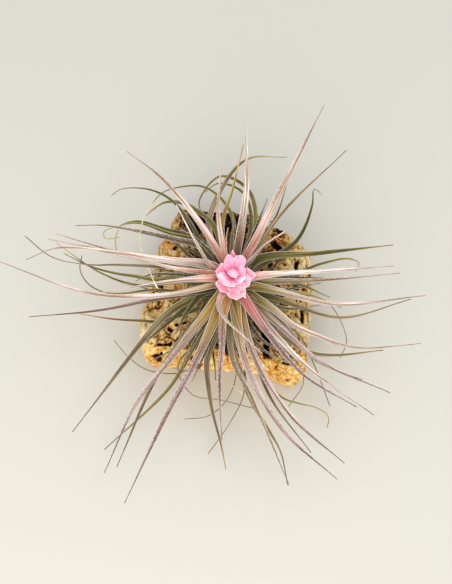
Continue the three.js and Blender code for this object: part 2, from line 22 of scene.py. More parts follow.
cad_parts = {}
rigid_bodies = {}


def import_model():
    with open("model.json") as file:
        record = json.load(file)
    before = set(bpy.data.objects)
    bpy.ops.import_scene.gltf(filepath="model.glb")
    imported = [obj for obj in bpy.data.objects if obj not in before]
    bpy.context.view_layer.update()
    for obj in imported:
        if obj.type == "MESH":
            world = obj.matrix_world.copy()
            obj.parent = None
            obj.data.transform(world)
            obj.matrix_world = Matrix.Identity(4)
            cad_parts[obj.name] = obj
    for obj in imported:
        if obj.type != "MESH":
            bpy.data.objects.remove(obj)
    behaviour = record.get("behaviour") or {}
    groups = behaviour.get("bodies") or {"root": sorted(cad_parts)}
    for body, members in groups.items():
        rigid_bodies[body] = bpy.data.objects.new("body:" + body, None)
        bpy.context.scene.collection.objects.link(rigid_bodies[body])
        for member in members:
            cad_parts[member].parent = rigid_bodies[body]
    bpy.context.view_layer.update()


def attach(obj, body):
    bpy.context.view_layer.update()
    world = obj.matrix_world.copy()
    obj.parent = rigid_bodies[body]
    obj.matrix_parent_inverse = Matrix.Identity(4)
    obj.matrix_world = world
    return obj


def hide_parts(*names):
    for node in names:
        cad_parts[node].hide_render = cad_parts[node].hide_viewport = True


LOG = logging.getLogger("air_plant")
MM = 0.001
BODY = "root"
BLADE_MAP = "blade"
SMOOTH_ANGLE = 60.0
ROUND_SIDES = 32
UP = (0.0, 0.0, 1.0)

# A stop is a place or three factors, a span is two limits, a tint is a display colour with parts from
# 0 to 255, and a setting is whatever a node's property or socket takes.
Stop = tuple[float, float, float]
Span = tuple[float, float]
Tint = tuple[float, float, float]
Setting = object


def linear(red: float, green: float, blue: float) -> tuple[float, float, float, float]:
    """Turns a display colour into the linear colour that a shader takes, by the standard display curve.

    Args:
        red: Its red, from 0 to 255.
        green: Its green, from 0 to 255.
        blue: Its blue, from 0 to 255.

    Returns:
        The linear colour, with full alpha.
    """
    shares = (red / 255, green / 255, blue / 255)
    curve = [s / 12.92 if s <= 0.04045 else ((s + 0.055) / 1.055) ** 2.4 for s in shares]
    return (curve[0], curve[1], curve[2], 1.0)


def smooth(value: np.ndarray, low: float, high: float) -> np.ndarray:
    """An eased step from 0 at low to 1 at high."""
    share = np.clip((value - low) / (high - low), 0, 1)
    return share * share * (3 - 2 * share)


def smooth_step(value: float, low: float, high: float) -> float:
    """An eased step from 0 at low to 1 at high, for one number."""
    share = min(1.0, max(0.0, (value - low) / (high - low)))
    return share * share * (3 - 2 * share)


class Tone(Enum):
    """The colours that a leaf or bract has at its root, along its body and at its tip."""

    GREEN = (128, 124, 48)
    DARK_GREEN = (90, 88, 16)
    BRIGHT_GREEN = (148, 146, 62)
    OLIVE = (144, 133, 63)
    GOLD = (182, 156, 82)
    BRONZE = (152, 126, 68)
    # A painted shade: the dark of the shorter leaves' roots and of the lower stem, down in shade among
    # the leaf bases.
    DEEP_SHADE = (66, 56, 32)
    DARK_OLIVE = (118, 98, 54)
    OLIVE_GREY = (164, 148, 108)
    DARK_GREY = (138, 122, 98)
    GREY = (180, 166, 140)
    SILVER_GREEN = (168, 162, 110)
    TAN = (188, 166, 118)
    YELLOW = (212, 192, 108)
    ORANGE = (214, 160, 78)
    OCHRE = (206, 160, 98)
    MAUVE = (190, 168, 168)
    DARK_MAUVE = (160, 134, 134)
    GREY_MAUVE = (182, 166, 162)
    SILVER_PINK = (232, 214, 210)
    PINK_WHITE = (250, 238, 234)
    WHITE = (250, 242, 236)
    ROSE = (212, 134, 130)
    SALMON = (218, 150, 114)
    PINK = (232, 172, 156)
    BROWN_ROSE = (186, 122, 98)
    PLUM = (124, 102, 104)
    # A painted shade: the dark brown root of the upright back leaf, in shade behind the flower head.
    BROWN = (130, 98, 68)
    AMBER = (255, 206, 112)

    @property
    def shade(self) -> np.ndarray:
        """The tone as a linear colour."""
        return np.array(linear(*self.value))


@dataclass(frozen=True)
class Leaf:
    """One leaf.

    Attributes:
        width: Its breadth past its sheathing base, in mm.
        root: Its colour near the stem.
        body: Its colour along the blade.
        tip: Its colour at the tip.
        route: The way from the stem to its tip, in mm.
        sheath: How much broader its base is, as a share of its width.
        fade: How soon it narrows towards its tip.
        change: Where along it the root's colour has half given way to the body's.
        dry: Where along it the tip starts to dry.
        band: How pale its middle is painted towards the tip, a painted highlight stripe along the blade,
            from 0 to 1.
    """

    width: float
    root: Tone
    body: Tone
    tip: Tone
    route: tuple[Stop, ...]
    sheath: float = 0.34
    fade: float = 0.68
    change: float = 0.3
    dry: float = 0.72
    band: float = 0.0


@dataclass(frozen=True)
class UnderRule:
    """How the shorter leaves under the broader ones are drawn from them.

    Attributes:
        broad: The least breadth of a leaf that has one under it, in mm.
        share: How far out a shorter leaf reaches, as a share of the leaf above.
        turn: How far round it is turned from the leaf above, in degrees.
        level: The height from which its rise and fall are drawn in, in mm.
        drop: How much lower it lies, in mm.
        least: The least height that it keeps, in mm.
        slim: Its breadth, as a share of the leaf above.
    """

    broad: float
    share: float
    turn: float
    level: float
    drop: float
    least: float
    slim: float


@dataclass(frozen=True)
class ClaspRule:
    """Short leaves that clasp the stem, one over the other, round its sides and back.

    Attributes:
        count: How many there are.
        first: The heading of the first, in degrees.
        last: The heading of the last, in degrees.
        width: Their breadth, in mm.
        fade: How soon they narrow towards their tips.
        steps: How far out from the stem's axis and how high each goes, in mm.
        over_out: How much farther out every other one stands, in mm.
        over_rise: How much higher every other one stands, in mm.
        roots: Heights between which they are rooted.
    """

    count: int
    first: float
    last: float
    width: float
    fade: float
    steps: tuple[tuple[float, float], ...]
    over_out: float
    over_rise: float
    roots: tuple[float, float]

    def leaves(self) -> list[Leaf]:
        """Draws the leaves.

        Returns:
            The leaves, from the first heading to the last.
        """
        made = []
        for index in range(self.count):
            angle = math.radians(self.first + (self.last - self.first) * index / (self.count - 1))
            over = index % 2
            route = []
            for out, height in self.steps:
                reach = out + over * self.over_out
                place = (STEM[0] + reach * math.cos(angle), STEM[1] + reach * math.sin(angle))
                route.append((*place, height + over * self.over_rise))
            tones = (Tone.OLIVE, Tone.OLIVE_GREY, Tone.SILVER_GREEN)
            made.append(Leaf(self.width, *tones, tuple(route), sheath=0, fade=self.fade))
        return made


@dataclass(frozen=True)
class Bract:
    """One bract.

    Attributes:
        heading: The way it points, in degrees.
        reach: How far its tip stands from the axis, in mm.
        top: The height of its tip, in mm.
        width: Its greatest width, in mm.
        rim: How white its margin is, from 0 to 1.
        nod: How far its tip leans back over the axis, in mm.
        glow: How much painted light pales it all over, from 0 to 1.
        point: How pointed it is, from 0, blunt, to 1.
    """

    heading: float
    reach: float
    top: float
    width: float
    rim: float = 0.3
    nod: float = 0.0
    glow: float = 0.3
    point: float = 0.0


@dataclass(frozen=True)
class Fissure:
    """A crack or hole in the bark, between two places in mm, with its half width and depth."""

    start: Stop
    end: Stop
    half: float
    depth: float


@dataclass(frozen=True)
class Thread:
    """One dry plant thread: its radius and its route, in mm."""

    radius: float
    route: tuple[Stop, ...]


STEM = (0.0, -10.0)
STEM_SPLIT = 42.0
STEM_TOP = 54.0
BARK_TOP = 28.0
SEAT_GAP = 0.3

T = Tone
LOWER_LEAVES = (
    Leaf(2.2, T.GREEN, T.DARK_GREEN, T.OCHRE,
         ((-36, -25, 33), (-44.5, -24.2, 32), (-59.5, -22, 29), (-80.5, -16.2, 24)), fade=0.45, dry=0.5),
    Leaf(1.6, T.GREEN, T.OLIVE, T.GREEN,
         ((-41, -8, 34), (-56, -8, 30), (-67, -5, 26), (-75, 0, 26), (-79, 7, 28), (-78, 14, 30)),
         fade=0.4),
    Leaf(1.8, T.GREEN, T.GREEN, T.DARK_GREEN,
         ((24, -26, 33), (33, -31, 32), (42, -44, 20), (50, -61, 8))),
    Leaf(1.2, T.OLIVE, T.GREEN, T.OLIVE, ((24, -36, 33), (36, -52, 24), (29, -62, 10))),
    Leaf(1.2, T.OLIVE, T.OLIVE, T.OLIVE, ((32, -10, 34), (50, -12, 26), (59, -29, 18), (56, -36, 12))),
    Leaf(1.2, T.OLIVE, T.DARK_OLIVE, T.OLIVE,
         ((-14, -36, 34), (-22, -48, 26), (-42, -44, 14), (-53, -36, 12), (-61, -27, 14))),
    Leaf(1.4, T.OLIVE, T.OLIVE, T.DARK_OLIVE,
         ((-17, -36, 34), (-27, -46, 26), (-20, -57, 14), (-6, -58, 9), (12, -62, 7))),
    Leaf(1.2, T.OLIVE, T.OLIVE, T.DARK_OLIVE,
         ((0, -36, 34), (2, -51, 26), (-3, -61, 16), (-12, -67, 10), (-24, -68, 8))),
    Leaf(1.2, T.OLIVE, T.DARK_OLIVE, T.OLIVE, ((5, -38, 36), (6, -60, 26), (-1, -72, 14), (-12, -86, 7))),
    Leaf(2.4, T.OLIVE, T.OLIVE, T.YELLOW,
         ((15, -51, 33), (24, -61.5, 24), (34, -62.5, 16), (42, -62.3, 10), (48, -65, 8),
          (49.5, -67.5, 6), (48.5, -71.5, 5))),
    Leaf(5.0, T.GREEN, T.DARK_GREY, T.PLUM,
         ((-14, -13, 39), (-24.5, -17.5, 38), (-31, -22, 38), (-37.5, -28.5, 37), (-44.5, -36, 34),
          (-80, -77, 14)), sheath=-0.1, fade=0.8),
    Leaf(3.4, T.OLIVE, T.OLIVE, T.DARK_OLIVE, ((-16, -34, 36), (-30, -58, 30), (-64, -85, 10))),
    Leaf(4.2, T.OLIVE, T.DARK_GREY, T.DARK_OLIVE, ((-20, -32, 38), (-36, -53, 34), (-57, -95, 14))),
    Leaf(4.2, T.OLIVE, T.DARK_GREY, T.TAN,
         ((-10.5, -39.5, 35), (-12.5, -47, 32), (-11.5, -57, 25), (-10, -66, 18), (-5.5, -82, 11),
          (-3, -95, 10)), fade=0.6, dry=0.8),
    Leaf(3.6, T.DARK_OLIVE, T.OLIVE_GREY, T.PLUM,
         ((0, -40, 37), (3, -50, 34), (10.3, -68, 30), (18, -80.5, 27), (23.7, -90.5, 24),
          (27, -106, 20)), sheath=0, fade=0.6),
    Leaf(3.2, T.DARK_OLIVE, T.DARK_GREY, T.DARK_GREY, ((11, -46, 37), (19, -66, 33), (39, -89, 18))),
    Leaf(3.3, T.OLIVE, T.OLIVE_GREY, T.OLIVE,
         ((22, -32, 36), (39, -41, 31), (51.5, -41.2, 28), (77, -36, 22)), fade=0.55),
    Leaf(4.4, T.DARK_GREEN, T.GREEN, T.SILVER_GREEN, ((20, -6, 38), (32, -6, 38), (50, -12, 34))),
    Leaf(3.2, T.OLIVE, T.SILVER_GREEN, T.OLIVE, ((20, -11, 37), (36, -11, 37), (56, -17, 32))),
    Leaf(2.6, T.DARK_OLIVE, T.OLIVE, T.ORANGE,
         ((20, -4, 36), (34, 1, 36), (46, 6, 36), (60, 9, 36), (66, 8, 32), (64, 5, 29)), fade=0.45,
         dry=0.84),
    Leaf(3.4, T.OLIVE_GREY, T.DARK_GREEN, T.BRIGHT_GREEN,
         ((14, 3, 38), (34, 19, 38), (42, 38, 40), (43, 46, 44), (47, 43, 43)), sheath=0, fade=0.5),
    Leaf(4.6, T.DARK_GREEN, T.GREEN, T.OLIVE, ((12, 4, 43), (44, 8, 44), (83, 15, 40))),
    Leaf(2.6, T.DARK_OLIVE, T.TAN, T.OLIVE, ((12, 8, 44), (25, 29, 46), (61, 71, 41))),
    Leaf(2.8, T.DARK_GREEN, T.GREEN, T.OLIVE, ((11, 10, 42), (23, 31, 41), (29, 51, 40))),
    Leaf(3.3, T.DARK_OLIVE, T.YELLOW, T.ORANGE, ((-5, 21, 50), (0, 38, 55), (6, 64, 58)), change=0.22),
    Leaf(4.2, T.OLIVE_GREY, T.GREY, T.TAN,
         ((-12, 22, 43), (-6, 42, 48), (8, 60, 50), (29, 65, 44)), change=0.22),
    Leaf(2.8, T.DARK_GREEN, T.OLIVE, T.YELLOW,
         ((12, 22, 44), (9, 42, 48), (-6, 52, 46), (-17, 41, 38), (-13, 32, 33)), sheath=0, fade=0.4),
    Leaf(2.6, T.DARK_GREEN, T.GREEN, T.OLIVE,
         ((10, 25, 44), (6, 42, 46), (-7, 49, 44), (-14, 46, 40)), sheath=0, fade=0.4),
    Leaf(2.5, T.OLIVE_GREY, T.GREEN, T.OLIVE,
         ((0, 13, 44), (1, 25, 46), (-5, 36, 50), (-15, 42, 53), (-28, 42, 52), (-36, 41, 48),
          (-43, 37, 41)), sheath=0, fade=0.65),
    Leaf(3.3, T.DARK_GREEN, T.GREEN, T.AMBER,
         ((-9, 23, 44), (-18.5, 32, 46), (-27, 37, 45), (-35, 38.5, 42), (-42, 37, 36), (-45, 36.5, 32)),
         sheath=0, fade=0.35, dry=0.78),
    Leaf(2.6, T.DARK_GREEN, T.DARK_GREEN, T.GREEN,
         ((-16, 15, 43), (-22.5, 25.5, 48), (-31, 34.5, 52), (-43, 42.5, 49), (-58, 46, 43),
          (-63, 44, 40)), sheath=0, fade=0.6),
    Leaf(4.8, T.DARK_GREEN, T.DARK_GREEN, T.GREEN,
         ((-18, 16.5, 42), (-33, 20, 45), (-46, 24, 47), (-53, 26, 43), (-58, 26.5, 39)), sheath=0,
         fade=0.35, band=0.8),
    Leaf(3.3, T.OLIVE, T.OLIVE_GREY, T.OLIVE,
         ((-20, -0.5, 43), (-39, 0.5, 44), (-59, 2, 43), (-72, 2.5, 42), (-92, 8, 40), (-106, 18, 44)),
         sheath=-0.1, fade=1.3),
    Leaf(2.6, T.OLIVE, T.OLIVE, T.ORANGE,
         ((-24, -5, 38), (-46, -7, 37), (-67, 0.8, 36), (-90, 15, 42)), dry=0.84),
    Leaf(3.2, T.OLIVE, T.OLIVE, T.OLIVE,
         ((-26, -3.5, 39), (-39, -4, 38), (-50, -2, 38), (-59, -0.5, 38), (-72, 2.5, 40), (-86, 10, 40)),
         fade=0.6),
    Leaf(3.0, T.OLIVE, T.DARK_MAUVE, T.DARK_OLIVE, ((-36, -16, 41), (-66, -21, 38), (-103, -21, 30))),
    Leaf(3.0, T.OLIVE, T.OLIVE_GREY, T.DARK_MAUVE, ((24, -17, 41), (54, -25, 38), (91, -13, 34))),
    Leaf(4.2, T.DARK_GREEN, T.DARK_GREEN, T.OLIVE,
         ((-14, -13, 41), (-20, -19.5, 41), (-24, -25.5, 40), (-28, -33, 36)), sheath=0, fade=0.5),
    Leaf(3.4, T.DARK_GREEN, T.DARK_GREEN, T.OLIVE,
         ((12, -17, 42), (22, -21, 41), (32, -31, 36)), sheath=0),
    Leaf(3.0, T.GREEN, T.GREEN, T.OLIVE, ((16, -3, 41), (26, -1, 40), (35, -2, 37))),
    Leaf(3.3, T.DARK_GREEN, T.GREEN, T.GREEN,
         ((-20, 6, 41), (-27, 12.5, 43), (-31, 15, 44.5), (-35, 16, 46), (-40, 17, 47)), sheath=0,
         fade=0.5),
    Leaf(1.8, T.DARK_GREEN, T.DARK_GREEN, T.GREY,
         ((-18, -3.5, 40), (-30.5, -0.5, 40), (-38.5, 2, 38), (-42, 0, 35)), fade=0.4, dry=0.8),
)
UPPER_LEAVES = (
    Leaf(3.4, T.OLIVE, T.GREY, T.DARK_GREY, ((0, -50, 46), (9, -67, 40), (28, -105, 16))),
    Leaf(4.8, T.DARK_OLIVE, T.DARK_GREY, T.TAN,
         ((-15, 7, 52), (-28, 9.5, 56), (-41, 13, 56), (-54, 17, 54), (-66, 21, 50), (-80, 23, 46)),
         sheath=0.15, fade=0.95),
    Leaf(3.2, T.OLIVE, T.GREY_MAUVE, T.MAUVE, ((-24, -2, 51), (-56, 3, 54), (-93, 14, 48))),
    Leaf(2.6, T.PINK, T.MAUVE, T.TAN, ((-24, -0.5, 50), (-56, 5, 51), (-89, 16, 50))),
    Leaf(3.8, T.OLIVE, T.SILVER_PINK, T.MAUVE,
         ((20.5, -27, 51), (30, -35, 51), (43.5, -41, 50), (53, -44, 48), (63.5, -44.5, 45),
          (77, -42, 41), (94, -38.5, 37)), fade=0.9),
    Leaf(3.4, T.OLIVE, T.MAUVE, T.PLUM, ((24, -36, 50), (43, -52, 46), (78, -62, 30))),
    Leaf(2.6, T.OLIVE, T.MAUVE, T.PLUM,
         ((26, -34, 49), (35.5, -46.5, 46), (43.5, -52, 43), (64, -57, 35))),
    Leaf(3.6, T.ROSE, T.PINK_WHITE, T.MAUVE, ((23, -43, 52), (40, -59, 48), (69, -75, 34)), dry=0.5),
    Leaf(3.8, T.OLIVE, T.SILVER_PINK, T.MAUVE, ((21, -18, 54), (49, -25, 54), (97, -16, 45)), dry=0.6),
    Leaf(3.4, T.OLIVE, T.GREY, T.MAUVE, ((20, -12, 52), (44, -12, 54), (84, -6, 50)), dry=0.6),
    Leaf(3.4, T.GOLD, T.SILVER_PINK, T.DARK_MAUVE,
         ((-10.5, -15, 53), (-19, -17.5, 53.5), (-27.5, -20.2, 55), (-48, -22.5, 57), (-70, -21, 58),
          (-116, -4, 60)), sheath=-0.1, change=0.18, dry=0.6),
    Leaf(4.4, T.GOLD, T.MAUVE, T.PLUM, ((-28, -50, 50), (-46, -72, 42), (-62, -101, 24)), dry=0.6),
    Leaf(4.6, T.GOLD, T.DARK_MAUVE, T.PLUM, ((-17, -53, 52), (-32, -81, 46), (-52, -115, 20)), dry=0.66),
    Leaf(4.4, T.BRONZE, T.MAUVE, T.PLUM, ((11, -52, 50), (28, -78, 42), (55, -95, 20)), dry=0.6),
    Leaf(4.4, T.GOLD, T.MAUVE, T.PLUM, ((6, -53, 50), (23, -84, 42), (51, -103, 20)), dry=0.6),
    Leaf(4.4, T.OCHRE, T.DARK_MAUVE, T.PLUM,
         ((-4.5, -33, 53), (-5, -46, 50.5), (-6, -57.5, 45), (-6, -68.5, 37.5), (-5, -86, 28)),
         sheath=0.1, fade=0.75),
    Leaf(4.1, T.ROSE, T.DARK_MAUVE, T.PLUM, ((16, -39, 54), (34, -61, 52), (60, -73, 40))),
    Leaf(4.3, T.DARK_OLIVE, T.SILVER_PINK, T.DARK_MAUVE,
         ((-11.5, -5.5, 57), (-27, -6, 63), (-42, -5.5, 66), (-56, -3, 66.5), (-86, 3, 60),
          (-104, 4, 45)), sheath=0.15, fade=0.9, change=0.2),
    Leaf(3.6, T.PINK, T.PINK_WHITE, T.GREY_MAUVE,
         ((20, -11, 58), (44, -10, 60), (80, -5, 56)), change=0.2),
    Leaf(4.6, T.SALMON, T.SILVER_PINK, T.SILVER_PINK,
         ((-10.5, -13, 57), (-27.5, -14.5, 58), (-44.5, -16, 56), (-64, -16.5, 50)), sheath=0.1, fade=1.0,
         change=0.26),
    Leaf(3.2, T.BROWN_ROSE, T.PINK_WHITE, T.PINK_WHITE,
         ((10, 4, 60), (20, 23, 66), (36.8, 61, 66)), sheath=-0.15),
    Leaf(4.0, T.BROWN_ROSE, T.PINK_WHITE, T.GREY_MAUVE,
         ((-11, 7, 62), (-25.4, 24.3, 71.5), (-38, 38.5, 72.5), (-53, 51.8, 71)), sheath=-0.15, dry=0.55),
    Leaf(5.0, T.BROWN, T.PINK_WHITE, T.WHITE,
         ((3, 4, 59), (7, 26, 75), (7, 62, 80)), sheath=-0.2, change=0.42),
    Leaf(4.6, T.BROWN_ROSE, T.PINK_WHITE, T.MAUVE,
         ((11, 5, 61), (23, 25, 74), (47, 78.5, 72)), sheath=-0.15, dry=0.6),
    Leaf(3.4, T.BROWN_ROSE, T.SILVER_PINK, T.PINK_WHITE,
         ((-4, 1, 58), (-7, 16, 73), (-5, 38.5, 85)), sheath=-0.2),
    Leaf(2.4, T.BROWN_ROSE, T.MAUVE, T.PINK_WHITE, ((8, -4, 57), (16, 3, 63), (26, 9, 66))),
    Leaf(2.6, T.BROWN_ROSE, T.PINK_WHITE, T.WHITE, ((-10.5, -6, 56.5), (-17, 0, 68), (-27, 14, 84))),
    Leaf(3.2, T.PINK, T.PINK_WHITE, T.PINK,
         ((-6.6, -27, 59), (-3.8, -38, 66), (6.4, -48, 66), (14, -55, 64))),
    Leaf(2.2, T.ROSE, T.ROSE, T.PINK, ((-3, 1, 57), (-3, 5, 66), (-2, 7, 74))),
    Leaf(3.2, T.BROWN_ROSE, T.PINK_WHITE, T.SILVER_PINK,
         ((-10.5, -10, 57), (-27.5, -10, 63), (-42.5, -6.5, 64), (-57, -1.5, 61)), sheath=0.1, fade=0.8,
         change=0.45),
)
UNDER_LOWER = UnderRule(broad=3.4, share=0.55, turn=-8, level=37, drop=1, least=32, slim=0.8)
UNDER_UPPER = UnderRule(broad=3.4, share=0.46, turn=5, level=49, drop=2.5, least=41, slim=0.8)
CLASPING = ClaspRule(
    count=6, first=-12, last=192, width=7.4, fade=0.25, steps=((8.6, 43.8), (9.6, 48), (12, 51.8)),
    over_out=0.8, over_rise=1.6, roots=(43.4, 44.2),
)

HEAD = (0.8, -12.0)
BRACTS = (
    # Each bract's glow is how much painted light pales it.
    Bract(276, 11.8, 56.8, 9.4, rim=1.0, glow=0.6, point=0.25),
    Bract(298, 12.1, 56.8, 5.4, rim=1.0, glow=0.9, point=1.0),
    Bract(93, 10.8, 66, 5.2, rim=0.2, glow=0.0, point=1.0),
    Bract(231, 10.5, 58.8, 8.8, rim=0.5, glow=0.3),
    Bract(358, 10.7, 61, 8.6, rim=0.6, glow=0.3, point=0.8),
    Bract(173, 8.8, 63, 9.4, rim=0.3, glow=0.2),
    Bract(281, 9.6, 60, 8.8, rim=0.2, glow=0.4),
    Bract(322, 9.4, 59.6, 8.4, rim=0.15, glow=0.8, point=0.3),
    Bract(109, 8.9, 66, 7.0, rim=0.3, glow=0.2, point=0.75),
    Bract(63, 8.9, 66, 6.2, rim=0.3, glow=0.2),
    Bract(229, 7.6, 61.6, 10.6, rim=0.2, glow=1.0),
    Bract(304, 6.2, 61.4, 7.4, rim=0.2, glow=1.0),
    Bract(18, 6.2, 62.4, 5.8, rim=0.1, glow=0.4),
    Bract(60, 3.4, 64.2, 5.4, rim=0.0, nod=6.4, glow=0.4),
)

THREADS = (
    Thread(0.28,
           ((-38.3, 41.3, 48), (-44.6, 26.5, 50), (-45.4, 21.9, 52), (-45.6, 18.6, 54), (-45.8, 14.1, 57),
            (-45.5, 6.4, 62), (-44.5, -1.1, 66), (-43.6, -5.2, 67.5))),
    Thread(0.34, ((-41.6, -4.3, 52), (-40, -9.3, 56), (-38.1, -15.6, 60.5), (-36.4, -18.4, 59))),
    Thread(0.22, ((-42.5, -7.7, 51.5), (-42.9, -4.7, 51), (-41.9, -4.1, 51))),
    Thread(0.22,
           ((-57, 13.3, 52), (-60.7, 13.5, 50), (-64.3, 14.3, 49), (-65.3, 17.7, 48), (-63.6, 19.7, 48),
            (-60.5, 20.1, 49))),
    Thread(0.26, ((-57.5, 17.1, 53), (-58.7, 11.6, 52), (-58.3, 7.7, 52), (-57.3, 4.4, 53))),
    Thread(0.22, ((-1.5, -58.5, 33), (3, -57.5, 22), (7.2, -56.4, 10))),
)

FISSURES = (
    Fissure((-39, -38.5, 19.5), (-37.6, -38.5, 15.8), 1.3, 5),
    Fissure((-37.6, -38.5, 20), (-35.1, -38.5, 24.8), 0.55, 3),
    Fissure((-37.6, -38.5, 16), (-36.3, -38.5, 13.3), 0.7, 3),
    Fissure((-30, -38.5, 9.7), (-29.8, -38.5, 9.3), 0.6, 2),
    Fissure((-26.8, -38.5, 12.4), (-24.3, -38.5, 11.8), 0.9, 3),
    Fissure((-21.2, -38.5, 11), (-22.5, -38.5, 7.6), 0.6, 2),
    Fissure((-16.1, -38.5, 10.8), (-17.9, -38.5, 2.4), 0.9, 4),
    Fissure((-37, -35.2, 28), (-31.5, -34.6, 28), 0.8, 3),
    Fissure((-32.5, -25.5, 28), (-31, -26.5, 28), 0.9, 2.5),
    Fissure((-28, -24, 28), (-24, -22, 28), 0.8, 2.5),
    Fissure((-3, -33, 28), (-2, -42, 26), 0.9, 5),
    Fissure((17.6, -31, 28), (17.2, -42, 27), 0.9, 4.5),
    Fissure((16.4, -28, 28), (17.6, -32, 28), 1.1, 3),
    Fissure((26, -44.6, 27), (28, -45.2, 26), 0.8, 3),
    Fissure((18.4, -42.5, 14), (20, -43, 12.5), 0.7, 2),
    Fissure((24, -46, 14), (29, -48, 8.5), 0.6, 1.6),
    Fissure((24, -46, 14), (30, -48.5, 15), 0.6, 1.6),
    Fissure((33, -6, 28), (34, 12, 28), 0.9, 3),
    Fissure((36, -22, 28), (35, -8, 28), 0.7, 2.5),
    Fissure((-30, 20, 28), (-12, 36, 28), 1.0, 3),
    Fissure((-8, 30, 28), (8, 36, 28), 1.2, 3.5),
    Fissure((22, 22, 28), (27, 16, 28), 1.3, 3.5),
    Fissure((4, -30, 28), (10, -24, 28), 1.2, 3),
    Fissure((-38, -2, 28), (-30, 4, 28), 0.9, 2.5),
)


@dataclass(frozen=True)
class Mottle:
    """One size of mottling.

    Attributes:
        scale: How close it is, in turns for each metre.
        stretch: What each axis is multiplied by first, where it is stretched.
        layers: How many finer layers lie on it.
        rough: How strong each finer layer is.
    """

    scale: float
    stretch: Stop | None = None
    layers: float = 2
    rough: float = 0.5


class Wire:
    """The output of a node, with the arithmetic that the finishes and the shape rules are written in."""

    def __init__(self, graph: Graph, socket: bpy.types.NodeSocket) -> None:
        """Wraps one output socket of a graph."""
        self.graph = graph
        self.socket = socket

    def _maths(self, operation: str, *values: Wire | float) -> Wire:
        """Adds a Math node on the values."""
        return self.graph.add("ShaderNodeMath", {"operation": operation}, dict(enumerate(values)))

    def __add__(self, other: Wire | float) -> Wire:
        """The sum."""
        return self._maths("ADD", self, other)

    __radd__ = __add__

    def __sub__(self, other: Wire | float) -> Wire:
        """The difference."""
        return self._maths("SUBTRACT", self, other)

    def __rsub__(self, other: Wire | float) -> Wire:
        """The difference from a number."""
        return self._maths("SUBTRACT", other, self)

    def __mul__(self, other: Wire | float) -> Wire:
        """The product."""
        return self._maths("MULTIPLY", self, other)

    __rmul__ = __mul__

    def __pow__(self, other: Wire | float) -> Wire:
        """The power."""
        return self._maths("POWER", self, other)

    def __abs__(self) -> Wire:
        """The size without its sign."""
        return self._maths("ABSOLUTE", self)

    def step(self, low: float, high: float) -> Wire:
        """An eased step from 0 at low to 1 at high."""
        return self.graph.add(
            "ShaderNodeMapRange",
            {"interpolation_type": "SMOOTHSTEP"},
            {"Value": self, "From Min": low, "From Max": high},
        )

    def between(self, low: float, high: float) -> Wire:
        """From low, where this is 0, to high, where it is 1."""
        return self * (high - low) + low


class Graph:
    """A tree of nodes that is built by calls, for a material or for a shape."""

    def __init__(self, tree: bpy.types.NodeTree) -> None:
        """Starts on an empty tree."""
        self.tree = tree
        self.tree.nodes.clear()

    def add(
        self,
        kind: str,
        settings: dict[str, Setting] | None = None,
        inputs: dict[str | int, Setting] | None = None,
        output: str | int = 0,
    ) -> Wire:
        """Adds a node.

        Args:
            kind: The node's type.
            settings: Its properties, set before its sockets. "stops" holds a ramp's places and colours.
            inputs: Values or wires for its sockets, by name, identifier or place.
            output: Which output is returned, by name, identifier or place.

        Returns:
            The chosen output.
        """
        node = self.tree.nodes.new(kind)
        for name, value in (settings or {}).items():
            if name == "stops":
                self._ramp(node, value)
            else:
                setattr(node, name, value)
        for name, value in (inputs or {}).items():
            socket = self._socket(node.inputs, name)
            if isinstance(value, Wire):
                self.tree.links.new(value.socket, socket)
            else:
                socket.default_value = value
        return Wire(self, self._socket(node.outputs, output))

    @staticmethod
    def _ramp(node: bpy.types.Node, stops: Sequence[tuple[float, Sequence[float]]]) -> None:
        """Sets a ramp's stops.

        Args:
            node: The ramp's node.
            stops: The place and the colour of each.
        """
        elements = node.color_ramp.elements
        while len(elements) > 1:
            elements.remove(elements[-1])
        for index, (place, colour) in enumerate(stops):
            element = elements[0] if index == 0 else elements.new(place)
            element.position = place
            element.color = colour

    @staticmethod
    def _socket(
        sockets: bpy.types.NodeInputs | bpy.types.NodeOutputs, name: str | int
    ) -> bpy.types.NodeSocket:
        """Finds a socket.

        Args:
            sockets: A node's inputs or outputs.
            name: Its place, identifier or name.

        Returns:
            The socket.
        """
        if isinstance(name, int):
            return sockets[name]
        for socket in sockets:
            if socket.identifier == name:
                return socket
        return sockets[name]

    def blend(self, share: Wire | float, first: Setting, second: Setting, mode: str = "MIX") -> Wire:
        """A colour between two, or one laid over the other in a mode, by a share."""
        return self.add(
            "ShaderNodeMix",
            {"data_type": "RGBA", "blend_type": mode},
            {"Factor_Float": share, "A_Color": first, "B_Color": second},
            "Result_Color",
        )

    def scaled(self, vector: Wire, by: Stop) -> Wire:
        """A vector with each part multiplied."""
        return self.add("ShaderNodeVectorMath", {"operation": "MULTIPLY"}, {0: vector, 1: by})

    def mottle(self, place: Wire, kind: Mottle) -> Wire:
        """Noise from 0 to 1.

        Args:
            place: Where it is read.
            kind: How close, how stretched and how fine it is.

        Returns:
            The noise.
        """
        if kind.stretch is not None:
            place = self.scaled(place, kind.stretch)
        return self.add(
            "ShaderNodeTexNoise",
            {"noise_dimensions": "3D"},
            {"Vector": place, "Scale": kind.scale, "Detail": kind.layers, "Roughness": kind.rough},
            "Fac",
        )

    def bump(self, height: Wire, strength: float, depth: float) -> Wire:
        """The surface's direction, bumped by a height."""
        return self.add("ShaderNodeBump", {}, {"Strength": strength, "Distance": depth, "Height": height})

    def place(self, axis: str | None = None) -> Wire:
        """A point's place on the object, in metres, or one axis of it.

        Args:
            axis: The axis, where only one is wanted.

        Returns:
            The place, or its part on that axis.
        """
        place = self.add("ShaderNodeTexCoord", {}, {}, "Object")
        if axis is None:
            return place
        return self.add("ShaderNodeSeparateXYZ", {}, {0: place}, axis)

    def attribute(self, name: str, output: str = "Fac") -> Wire:
        """A value or colour that is kept on the mesh."""
        return self.add("ShaderNodeAttribute", {"attribute_name": name}, {}, output)


